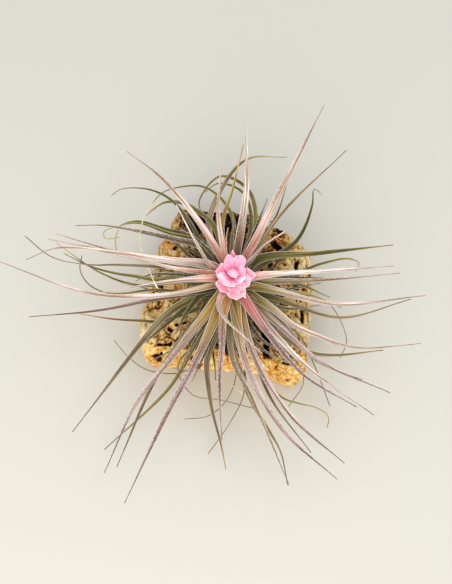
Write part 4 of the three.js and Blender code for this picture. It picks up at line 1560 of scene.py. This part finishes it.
def turned_mesh(name: str, profile: Sequence[Span], place: Span, sides: int) -> bpy.types.Mesh:
    """A closed form of revolution about a vertical axis.

    Args:
        name: The mesh's name.
        profile: Radius and height steps in mm, from the foot to the top.
        place: Where the axis stands, in mm.
        sides: How many faces go round.

    Returns:
        The mesh.
    """
    vertices = []
    for radius, height in profile:
        for side in range(sides):
            angle = 2 * math.pi * side / sides
            across, ahead = place[0] + radius * math.cos(angle), place[1] + radius * math.sin(angle)
            vertices.append(Vector((across, ahead, height)) * MM)
    mesh = bpy.data.meshes.new(name)
    mesh.from_pydata(vertices, [], ringed_faces(len(profile), sides))
    return mesh


@dataclass
class BractHead:
    """The flower head: cupped bracts in layers round a small core.

    Attributes:
        node: The CAD node and the piece's name.
        slot: The material slot's name, which is not used.
        lowest: The height at which the outermost bract is rooted, in mm.
        highest: The height at which the innermost is rooted.
        outset: How far from the axis a bract's foot stands at most, in mm.
        root_share: How far out it stands, as a share of its bract's reach.
        belly_reach: How far out a bract bellies, as a share of its reach.
        belly_rise: How high it bellies, as a share of its rise.
        belly_nod: How much that share grows for each mm that it nods.
        curve_steps: How many points stand on its curve.
        foot_width: The width of its foot, as a share of its width.
        swollen_by: Where along it that width is full.
        blunt_from: Where along it a blunt tip starts to round.
        blunt_power: How full a blunt tip is.
        point_from: Where along it a pointed tip starts to narrow.
        point_power: How full a pointed tip is.
        least_half: The least half width, in mm.
        pitch: The step along it, in mm.
        columns: How many points stand across one of its faces.
        thick: Half its thickness, in mm.
        channel: How it is cupped.
        phase: What sets its marks apart from the leaves'.
        core: The heart's profile, as radius and height steps.
    """

    node: str = "bract_head"
    slot: str = "bract"
    lowest: float = 56.0
    highest: float = 61.5
    outset: float = 2.4
    root_share: float = 0.4
    belly_reach: float = 0.8
    belly_rise: float = 0.35
    belly_nod: float = 0.14
    curve_steps: int = 40
    foot_width: float = 0.76
    swollen_by: float = 0.5
    blunt_from: float = 0.66
    blunt_power: float = 5
    point_from: float = 0.45
    point_power: float = 1.5
    least_half: float = 0.3
    pitch: float = 0.7
    columns: int = 13
    thick: float = 0.3
    channel: Channel = Channel(cup=0.42, power=1.6, margin=0.5, ripple=0.1)
    phase: float = 0.3
    core: tuple[Span, ...] = (
        (2.6, STEM_TOP + SEAT_GAP), (4.2, 57.2), (2.8, 59.0), (1.4, 59.9), (0.4, 60.2)
    )

    def half_width(self, bract: Bract, at: np.ndarray) -> np.ndarray:
        """How broad a bract is along its length.

        Args:
            bract: The bract.
            at: How far along it each step is.

        Returns:
            Half its width at each step, in mm.
        """
        swell = self.foot_width + (1 - self.foot_width) * smooth(at, 0.0, self.swollen_by)
        blunt, pointed = (
            1 - np.clip((at - start) / (1 - start), 0, 1) ** power
            for start, power in ((self.blunt_from, self.blunt_power), (self.point_from, self.point_power))
        )
        outline = np.sqrt(blunt) * (1 - bract.point) + pointed * bract.point
        return np.maximum(self.least_half, bract.width / 2 * swell * outline)

    def add_bract(self, strip: Strip, bract: Bract, foot: float, phase: float) -> None:
        """Lays one bract's strip.

        Args:
            strip: What gathers the strips.
            bract: The bract.
            foot: The height at which it is rooted, in mm.
            phase: What sets its marks apart from its neighbours'.
        """
        heading = math.radians(bract.heading)
        out = np.array([math.cos(heading), math.sin(heading), 0.0])
        belly = self.belly_rise + bract.nod * self.belly_nod
        ends = (
            (min(self.outset, bract.reach * self.root_share), foot),
            (bract.reach * self.belly_reach, foot + (bract.top - foot) * belly),
            (bract.reach, bract.top),
        )
        centre = np.array([*HEAD, 0.0])
        rise = np.array(UP)
        start, middle, end = (centre + out * distance + rise * height for distance, height in ends)
        end = end - out * bract.nod
        share = np.linspace(0, 1, self.curve_steps)[:, None]
        rib = start * (1 - share) ** 2 + middle * 2 * share * (1 - share) + end * share**2
        spine = spine_along(rib, self.pitch)
        thick = np.full(len(spine.at), self.thick)
        marks = {"rim": bract.rim, "glow": bract.glow}
        strip.add(spine, self.half_width(bract, spine.at), thick, marks, phase)

    def build(self) -> bpy.types.Object:
        """Builds the head, dresses it and hides the CAD node that it replaces.

        Returns:
            The bracts' piece.
        """
        strip = Strip(self.columns)
        for index, bract in enumerate(BRACTS):
            foot = self.lowest + (self.highest - self.lowest) * index / (len(BRACTS) - 1)
            self.add_bract(strip, bract, foot, index + self.phase)
        rule = BladeRule("bract_blades", self.channel, BractFinish().make())
        piece = placed("bract_head_fine", rule.open(strip.mesh("bract_strips")))
        core = turned_mesh("bract_core", self.core, HEAD, ROUND_SIDES)
        core.materials.append(HeartFinish().make())
        ease_edges(core, SMOOTH_ANGLE)
        for each in (piece, placed("bract_core", core)):
            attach(each, BODY)
        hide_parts(self.node)
        return piece


@dataclass
class DryThreads:
    """The dry threads that hang among the leaves on the left and in front.

    Attributes:
        name: The piece's name.
        slot: The material slot's name, which is not used.
        sides: How many faces go round a thread.
        per_span: How many points stand between two stops of its route.
    """

    name: str = "dry_threads"
    slot: str = "green_leaf"
    sides: int = 8
    per_span: int = 8

    def build(self) -> bpy.types.Object:
        """Builds the threads and dresses them.

        Returns:
            Their piece.
        """
        material = ThreadFinish().make()
        rule = ThreadRule({"Radius": THREADS[0].radius * MM, "Sides": self.sides}, material)
        gathered = bmesh.new()
        for thread in THREADS:
            points = dense_curve(np.array(thread.route, dtype=float), self.per_span) * MM
            lines = bpy.data.meshes.new("thread_line")
            lines.from_pydata(points.tolist(), [(step, step + 1) for step in range(len(points) - 1)], [])
            gathered.from_mesh(rule.run(lines, {"Radius": thread.radius * MM, "Sides": self.sides}))
        mesh = bpy.data.meshes.new(self.name)
        gathered.to_mesh(mesh)
        gathered.free()
        mesh.materials.append(material)
        ease_edges(mesh, SMOOTH_ANGLE)
        piece = placed(self.name, mesh)
        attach(piece, BODY)
        return piece


@dataclass(frozen=True)
class Furrow:
    """One size of the furrows that part the bark's plates.

    Attributes:
        close: How close they stand on each axis, in turns for each mm.
        shift: Where on the upright axis their noise is read.
        wide: How broad they are, in their noise.
        power: How steeply their sides fall.
        depth: How deep they are, in mm.
        dark: How far down the colour goes in them, partly the cork's darker colour and partly painted
            shade.
    """

    close: Stop
    shift: float
    wide: float
    power: float
    depth: float
    dark: float

    def at(self, place: Vector) -> float:
        """How far a place is into a furrow, from 0 to 1."""
        x, y, z = (part * close for part, close in zip(place, self.close))
        return (1 - min(1.0, abs(noise.noise(Vector((x, y, z + self.shift)))) / self.wide)) ** self.power


@dataclass(frozen=True)
class Roughness:
    """One size of fractal roughness.

    Attributes:
        close: How close it stands, in turns for each mm.
        fade: How fast its finer layers weaken.
        finer: How much finer each layer is than the last.
        layers: How many layers there are.
        height: How high it stands on the plates, in mm.
        light: How far up the plates' colour goes on it.
        cut_height: How high it stands on the cut face, in mm.
        cut_light: How far up the cut face's colour goes on it.
    """

    close: float
    fade: float
    finer: float
    layers: int
    height: float = 0.0
    light: float = 0.0
    cut_height: float = 0.0
    cut_light: float = 0.0

    def at(self, place: Vector) -> float:
        """The roughness at a place."""
        return noise.fractal(place * self.close, self.fade, self.finer, self.layers)


@dataclass
class CorkBark:
    """The piece of cork bark, rough on top, cut at the front and flat underneath.

    Sizes are in mm, headings in degrees, and what is called close is in turns for each mm.

    A closeness is in turns for each mm. Seat is how far from the stem the top starts to be uneven, is
    rough, and is uneven in full. Plates are their closeness across and along, slant, bend, sway and rise,
    and lumps their closeness across and along, their starts and their rise, as on the solid. A pair named
    rise, depth, sink or light is a height in mm and its part in the share that colours a place.
    """

    node: str = "cork_bark"
    slot: str = "cork"
    centre: Span = (0.0, -4.0)
    fine_turn: float = 0.4
    coarse_turn: float = 1.1
    fine_past: float = 6.0
    side_rows: int = 44
    top_rows: int = 84
    side_steps: tuple[Span, ...] = ((0.97, 0.0), (1.0, 7.0), (1.01, 15.0), (0.995, 22.0), (0.95, 27.0))
    lip: float = 0.015
    front_lip: float = 0.02
    cut_from: float = 216.0
    cut_to: float = 316.0
    cut_blend: float = 3.0
    cut_reach: Span = (0.88, 0.945)
    cut_height: Span = (26.5, 29.5)
    smooth_angle: float = 80.0
    foot_rise: float = 3.0
    rim_rows: int = 6
    rim_ahead: int = 3
    seat: Stop = (9, 13, 16)
    plates: tuple[float, ...] = (0.33, 0.24, 0.08, 0.12, 1.4, 1.6)
    lumps: tuple[float, ...] = (0.71, 0.63, 1.3, 0.4, 0.9)
    sink: float = 0.8
    rim: tuple[Span, ...] = (
        (42, 11), (41, 18), (36, 25), (26, 33), (18, 34), (15, 41), (-5, 43), (-17, 44), (-28, 45),
        (-32, 37), (-33, 31), (-38.5, 23), (-39, 13), (-46, -13), (-47, -28), (-45, -34.5), (-41, -38),
        (-22, -38.5), (2, -40), (16, -42), (28, -48.5), (33, -48.5), (37, -43), (39, -28), (41, -5),
    )
    seed: int = 7
    sway: Span = (0.09, 3.2)
    furrows: tuple[Furrow, ...] = (
        Furrow((0.17, 0.085, 0.16), shift=0, wide=0.1, power=1.5, depth=2.2, dark=0.5),
        Furrow((0.46, 0.22, 0.42), shift=9, wide=0.14, power=1.3, depth=0.8, dark=0.2),
    )
    fine: Roughness = Roughness(0.33, 0.9, 2.1, 4, height=0.75, light=0.3)
    grit: Roughness = Roughness(1.3, 0.8, 2.0, 3, height=0.35, light=0.2, cut_height=0.3, cut_light=0.2)
    crumb: Roughness = Roughness(0.5, 0.9, 2.1, 4, cut_height=0.8, cut_light=0.4)
    upright: float = 0.45
    plate_sink: Span = (0.2, 0.5)
    flesh_sink: Span = (0.3, 0.6)
    patch_close: float = 0.075
    patch_light: float = 0.4
    lump_close: float = 0.14
    lump_rise: Span = (2.2, 0.3)
    pit_close: float = 0.42
    pit_least: float = 0.38
    # A pit's depth in mm and how far down its colour goes: partly darker cork and partly painted shade.
    pit_depth: Span = (5, 2.5)
    # Painted light and shade by region: a lit right-hand strip with upright grain, a lit left side, and a
    # back in the leaves' shade.
    strip_from: Span = (27, 32)
    strip_close: Stop = (0.9, 0.14, 0.5)
    strip_grain: Roughness = Roughness(1, 0.9, 2.1, 3)
    strip_grain_and_painted_light: Span = (0.22, 0.5)
    left_from: Span = (16, 30)
    painted_left_light: float = 0.24
    back_from: Span = (6, 26)
    back_to: Span = (6, 22)
    painted_back_shade: float = 0.28
    colour_floor: float = -0.8
    # How far down the colour goes for each mm of a fissure's depth: partly the cork's darker colour and
    # partly painted shade.
    crack_dark_and_shade: float = 0.5
    crack_far: float = 3
    crack_wander: tuple[Span, ...] = ((0.6, 0.7), (1.7, 0.35))
    crack_wide: float = 1.45
    crack_slope: float = 0.7

    def reach(self, heading: float) -> float:
        """How far the rim is from the centre.

        Args:
            heading: The direction, in degrees.

        Returns:
            The distance, in mm.
        """
        ray = np.array([math.cos(math.radians(heading)), math.sin(math.radians(heading))])
        rim = np.array(self.rim, dtype=float) - np.array(self.centre)
        for a, b in zip(rim, np.roll(rim, -1, axis=0)):
            edge = b - a
            turn = ray[0] * edge[1] - ray[1] * edge[0]
            if abs(turn) < 1e-9:
                continue
            along = (a[0] * ray[1] - a[1] * ray[0]) / turn
            distance = (a[0] * edge[1] - a[1] * edge[0]) / turn
            if distance > 0 and 0 <= along <= 1:
                return float(distance)
        return float(rim[0][0])

    def top_level(self, x: float, y: float) -> float:
        """How high the top's broad plates are, flat under the stem, as on the solid.

        Args:
            x: Where, in mm.
            y: Where, in mm.

        Returns:
            The height, in mm.
        """
        across, along, slant, bend, sway, rise = self.plates
        plates = math.sin(x * across + math.sin(y * bend) * sway) * math.cos(y * along + x * slant)
        lump_across, lump_along, start_across, start_along, lump_rise = self.lumps
        lumps = math.sin(x * lump_across + start_across) * math.sin(y * lump_along + start_along)
        uneven = smooth_step(math.hypot(x - STEM[0], y - STEM[1]), self.seat[0], self.seat[2])
        return BARK_TOP + uneven * (plates * rise + lumps * lump_rise - self.sink)

    def profile(self, row: int) -> tuple[float, float | None]:
        """Where a ring of points stands.

        Args:
            row: Its number, from the foot up and then inwards.

        Returns:
            Its share of the reach and its height in mm, which is None on the top.
        """
        shares, heights = zip(*self.side_steps)
        if row < self.side_rows:
            height = heights[-1] * row / (self.side_rows - 1)
            return float(np.interp(height, heights, shares)), height
        inwards = (row - self.side_rows + 1) / self.top_rows
        return shares[-1] * (1 - inwards), None

    def headings(self) -> list[float]:
        """Lists the headings of the upright rows of points, close together over the cut front.

        Returns:
            The headings, in degrees.
        """
        turns = [0.0]
        while turns[-1] < 360 - self.coarse_turn:
            near = self.cut_from - self.fine_past < turns[-1] < self.cut_to + self.fine_past
            turns.append(turns[-1] + (self.fine_turn if near else self.coarse_turn))
        return turns

    def front(self, heading: float) -> float:
        """How far a heading is on the cut front, from 0 to 1."""
        begun, ended = (
            smooth_step(heading, turn - self.cut_blend, turn + self.cut_blend)
            for turn in (self.cut_from, self.cut_to)
        )
        return begun * (1 - ended)

    def cut_share(self, front: float, share: float, height: float) -> float:
        """How far a place is on the cut face, by its heading, its share of the reach and its height."""
        return front * smooth_step(share, *self.cut_reach) * (1 - smooth_step(height, *self.cut_height))

    def crack_depth(self, place: Vector) -> float:
        """How deep the fissures go.

        Args:
            place: Where, in mm.

        Returns:
            The depth of the deepest one there, in mm.
        """
        deepest = 0.0
        for fissure in FISSURES:
            start, end = Vector(fissure.start), Vector(fissure.end)
            run = end - start
            share = min(1.0, max(0.0, (place - start).dot(run) / run.length_squared))
            away = place - start - run * share
            away.z *= self.upright
            if away.length > fissure.half * self.crack_far:
                continue
            wander = sum(noise.noise(place * close) * strength for close, strength in self.crack_wander)
            near = self.crack_wide - (away.length + wander) / fissure.half
            deepest = max(deepest, fissure.depth * min(1.0, max(0.0, near / self.crack_slope)))
        return deepest

    def plate_relief(self, place: Vector, grit: float) -> tuple[float, float]:
        """The relief of the plates.

        Args:
            place: Where, in mm.
            grit: The finest roughness there.

        Returns:
            The height in mm, and the share that colours the place.
        """
        close, far = self.sway
        bent = place + noise.noise_vector(place * close) * far
        fine = self.fine.at(place)
        patch = noise.noise(place * self.patch_close + Vector((4, 7, 2)))
        height = fine * self.fine.height + grit * self.grit.height
        share = self.plate_sink[1] + patch * self.patch_light
        share += fine * self.fine.light + grit * self.grit.light
        # Furrows sink and darken: partly the cork's darker colour and partly painted shade.
        for furrow in self.furrows:
            depth = furrow.at(bent)
            height -= depth * furrow.depth
            share -= depth * furrow.dark
        return height - self.plate_sink[0], share

    def flesh_relief(self, place: Vector, grit: float) -> tuple[float, float]:
        """The relief of the cut face.

        Args:
            place: Where, in mm.
            grit: The finest roughness there.

        Returns:
            The height in mm, and the share that colours the place.
        """
        upright = Vector((place.x, place.y, place.z * self.upright))
        lump = abs(noise.noise(upright * self.lump_close + Vector((0, 0, 5))))
        crumb = self.crumb.at(upright)
        pit = max(0.0, noise.noise(upright * self.pit_close + Vector((7, 3, 1))) - self.pit_least)
        height, share = (
            lump * lumpy + crumb * crumbly + grit * gritty - pit * pitted
            for lumpy, crumbly, gritty, pitted in (
                (self.lump_rise[0], self.crumb.cut_height, self.grit.cut_height, self.pit_depth[0]),
                (self.lump_rise[1], self.crumb.cut_light, self.grit.cut_light, self.pit_depth[1]),
            )
        )
        return height - self.flesh_sink[0], share + self.flesh_sink[1]

    def painted_region_light(self, place: Vector, cut: float) -> float:
        """Painted light and shade by region: the plates are painted lighter where they are lit, on the
        right-hand strip with its upright grain and on the left, and darker at the back, in the leaves'
        shade.

        Args:
            place: Where, in mm.
            cut: How far it is on the cut face.

        Returns:
            What is added to the share that colours the place.
        """
        strip = smooth_step(place.x, *self.strip_from) * (1 - cut)
        stretched = Vector(part * close for part, close in zip(place, self.strip_close))
        light = strip * (self.strip_grain_and_painted_light[0] + self.strip_grain.at(stretched) * self.strip_grain_and_painted_light[1])
        light += self.painted_left_light * smooth_step(-place.x, *self.left_from)
        shaded_behind = smooth_step(place.y, *self.back_from) * (1 - smooth_step(place.x, *self.back_to))
        return light - self.painted_back_shade * shaded_behind

    def relief(self, place: Vector, cut: float) -> tuple[float, float]:
        """The roughness at a place.

        Args:
            place: Where, in mm.
            cut: How far it is on the cut face.

        Returns:
            The height above the plain form in mm, and its share from 0, deep, to 1, high.
        """
        grit = self.grit.at(place)
        plate_height, plate_share = self.plate_relief(place, grit)
        flesh_height, flesh_share = self.flesh_relief(place, grit)
        # Adds the painted light and shade by region.
        plate_share += self.painted_region_light(place, cut)
        height = plate_height * (1 - cut) + flesh_height * cut
        share = plate_share * (1 - cut) + flesh_share * cut
        deep = self.crack_depth(place)
        # Fissures darken by their depth: partly the cork's darker colour and partly painted shade.
        return height - deep, min(1.0, max(self.colour_floor, share - deep * self.crack_dark_and_shade))

    def point(self, row: int, heading: float, reach: float) -> tuple[Vector, float, float]:
        """One point of the surface.

        Args:
            row: The number of its ring.
            heading: Its heading, in degrees.
            reach: How far the rim is there, in mm.

        Returns:
            The point in mm, the share that colours it, and how far it is on the cut face.
        """
        share, height = self.profile(row)
        front = self.front(heading)
        angle = math.radians(heading)
        out = Vector((math.cos(angle), math.sin(angle), 0))
        risen = 1.0 if height is None else height / self.side_steps[-1][1]
        lip = 1 + (self.lip + self.front_lip * front) * risen
        place = Vector((*self.centre, 0)) + out * reach * share * lip
        place.z = self.top_level(place.x, place.y) if height is None else height
        cut = self.cut_share(front, share, place.z)
        lift, colour_share = self.relief(place, cut)
        if height is None:
            upwards = min(1.0, (row - self.side_rows + self.rim_ahead) / self.rim_rows)
            away = math.hypot(place.x - STEM[0], place.y - STEM[1])
            full = smooth_step(away, self.seat[0], self.seat[1])
        else:
            upwards = 0.0
            full = min(1.0, height / self.foot_rise)
        direction = (out * (1 - upwards) + Vector(UP) * upwards).normalized()
        return place + direction * lift * full, colour_share, cut

    def build(self) -> bpy.types.Object:
        """Builds the bark, dresses it and hides the CAD node that it replaces.

        Returns:
            The bark's piece.
        """
        noise.seed_set(self.seed)
        sectors = [(heading, self.reach(heading)) for heading in self.headings()]
        rows = self.side_rows + self.top_rows - 1
        points = [self.point(row, *sector) for row in range(rows) for sector in sectors]
        places, reliefs, cuts = zip(*points)
        mesh = bpy.data.meshes.new(self.node)
        mesh.from_pydata([place * MM for place in places], [], ringed_faces(rows, len(sectors)))
        for label, values in (("relief", reliefs), ("cut", cuts)):
            mesh.attributes.new(label, "FLOAT", "POINT").data.foreach_set("value", values)
        mesh.materials.append(CorkFinish().make())
        ease_edges(mesh, self.smooth_angle)
        piece = placed("cork_bark_fine", mesh)
        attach(piece, BODY)
        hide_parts(self.node)
        return piece


@dataclass(frozen=True)
class Lamp:
    """A square soft lamp.

    Attributes:
        name: Its name.
        place: Where it hangs, in metres.
        size: The length of its side, in metres.
        power: Its power, in watts.
        tone: Its colour, with parts from 0 to 1.
    """

    name: str
    place: Stop
    size: float
    power: float
    tone: Stop

    def hang(self, aim: Stop) -> None:
        """Hangs it so that it faces a place.

        Args:
            aim: The place, in metres.
        """
        light = bpy.data.lights.new(self.name, "AREA")
        light.size = self.size
        light.energy = self.power
        light.color = self.tone
        lamp = bpy.data.objects.new(self.name, light)
        lamp.location = self.place
        lamp.rotation_euler = (Vector(aim) - Vector(self.place)).to_track_quat("-Z", "Y").to_euler()
        bpy.context.scene.collection.objects.link(lamp)


@dataclass
class Studio:
    """The pale floor, the soft lights and the camera.

    Attributes:
        distance: How far the camera stands from its target, in metres.
        elevation: How steeply it looks down, in degrees.
        target: What it looks at, in metres.
        frame_height: How much it sees from top to bottom at the target, in metres.
        sensor_mm: The height of its sensor.
        floor_reach: How far the floor goes each way, in metres.
        floor_level: Its height, in metres.
        lamps: A warm key from the front, and a cool fill from above.
        aim: What the lamps face, in metres.
        room_tone: The colour of the room's light.
        room_strength: How strong it is.
    """

    distance: float = 0.6
    elevation: float = 65.0
    target: Stop = (-0.003, -0.014, 0.045)
    frame_height: float = 0.292
    sensor_mm: float = 24.0
    floor_reach: float = 3.0
    floor_level: float = -0.0002
    lamps: tuple[Lamp, ...] = (
        Lamp("key", (-0.18, -0.68, 0.55), size=0.6, power=5.3, tone=(1.0, 0.93, 0.84)),
        Lamp("top", (0.35, -0.1, 1.1), size=0.8, power=3.0, tone=(0.97, 0.98, 1.0)),
    )
    aim: Stop = (0, 0, 0.04)
    room_tone: tuple[float, float, float, float] = (0.96, 0.98, 1.0, 1)
    room_strength: float = 0.95

    def floor(self) -> bpy.types.Object:
        """Lays a wide pale floor just under the bark.

        Returns:
            The floor.
        """
        mesh = bpy.data.meshes.new("floor")
        corners = ((-1, -1), (1, -1), (1, 1), (-1, 1))
        places = [(x * self.floor_reach, y * self.floor_reach, self.floor_level) for x, y in corners]
        mesh.from_pydata(places, [], [(0, 1, 2, 3)])
        mesh.materials.append(FloorFinish().make())
        piece = placed("floor", mesh)
        return piece

    def lights(self) -> None:
        """Hangs the lamps, lights the room and sets how light is shown."""
        for lamp in self.lamps:
            lamp.hang(self.aim)
        world = bpy.data.worlds.new("room")
        world.use_nodes = True
        back = world.node_tree.nodes["Background"]
        back.inputs["Color"].default_value = self.room_tone
        back.inputs["Strength"].default_value = self.room_strength
        bpy.context.scene.world = world
        bpy.context.scene.view_settings.view_transform = "Standard"

    def camera(self) -> None:
        """Sets the camera, which looks down on the plant from the front."""
        data = bpy.data.cameras.new("camera")
        data.sensor_fit = "VERTICAL"
        data.sensor_height = self.sensor_mm
        data.lens = self.sensor_mm * self.distance / self.frame_height
        camera = bpy.data.objects.new("camera", data)
        angle = math.radians(self.elevation)
        back = Vector((0, -math.cos(angle), math.sin(angle)))
        camera.location = Vector(self.target) + back * self.distance
        camera.rotation_euler = (-back).to_track_quat("-Z", "Y").to_euler()
        bpy.context.scene.collection.objects.link(camera)
        bpy.context.scene.camera = camera

    def build(self) -> bpy.types.Object:
        """Sets up the lights, the camera and the floor.

        Returns:
            The floor.
        """
        self.lights()
        self.camera()
        return self.floor()


def main() -> None:
    """Builds the plant on its bark and reports each piece."""
    logging.basicConfig(level=logging.INFO, format="%(message)s")
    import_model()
    builders: tuple[Callable[[], bpy.types.Object], ...] = (
        Studio().build,
        CorkBark().build,
        LeafWhorl(
            "lower_leaves", "green_leaf", LOWER_LEAVES, UNDER_LOWER,
            roots=(32, 40), under_roots=(31, 36),
            core=((5, BARK_TOP + SEAT_GAP), (8, 31.8), (9, 36), (8.2, STEM_SPLIT - SEAT_GAP)),
            finish=LeafFinish(name="green_leaf", silver=0.3, rim=0.62, scale_tone=(174, 164, 98)),
            # The lower stem's dark tone is a painted shade.
            core_tone=Tone.DEEP_SHADE,
        ).build,
        LeafWhorl(
            "upper_leaves", "silver_leaf", UPPER_LEAVES, UNDER_UPPER,
            roots=(43.5, 51.5), under_roots=(43.2, 47),
            core=((6, STEM_SPLIT), (7.4, 45.5), (6.2, 51), (3.8, STEM_TOP)),
            finish=LeafFinish(name="silver_leaf", silver=0.42, rim=0.72),
            clasping=CLASPING,
            # The upper stem's dark olive is a painted shade among the leaf bases.
            core_tone=Tone.DARK_OLIVE,
        ).build,
        BractHead().build,
        DryThreads().build,
    )
    for build in builders:
        piece = build()
        LOG.info("%s: %d faces", piece.name, len(piece.data.polygons))


if __name__ == "__main__":
    main()
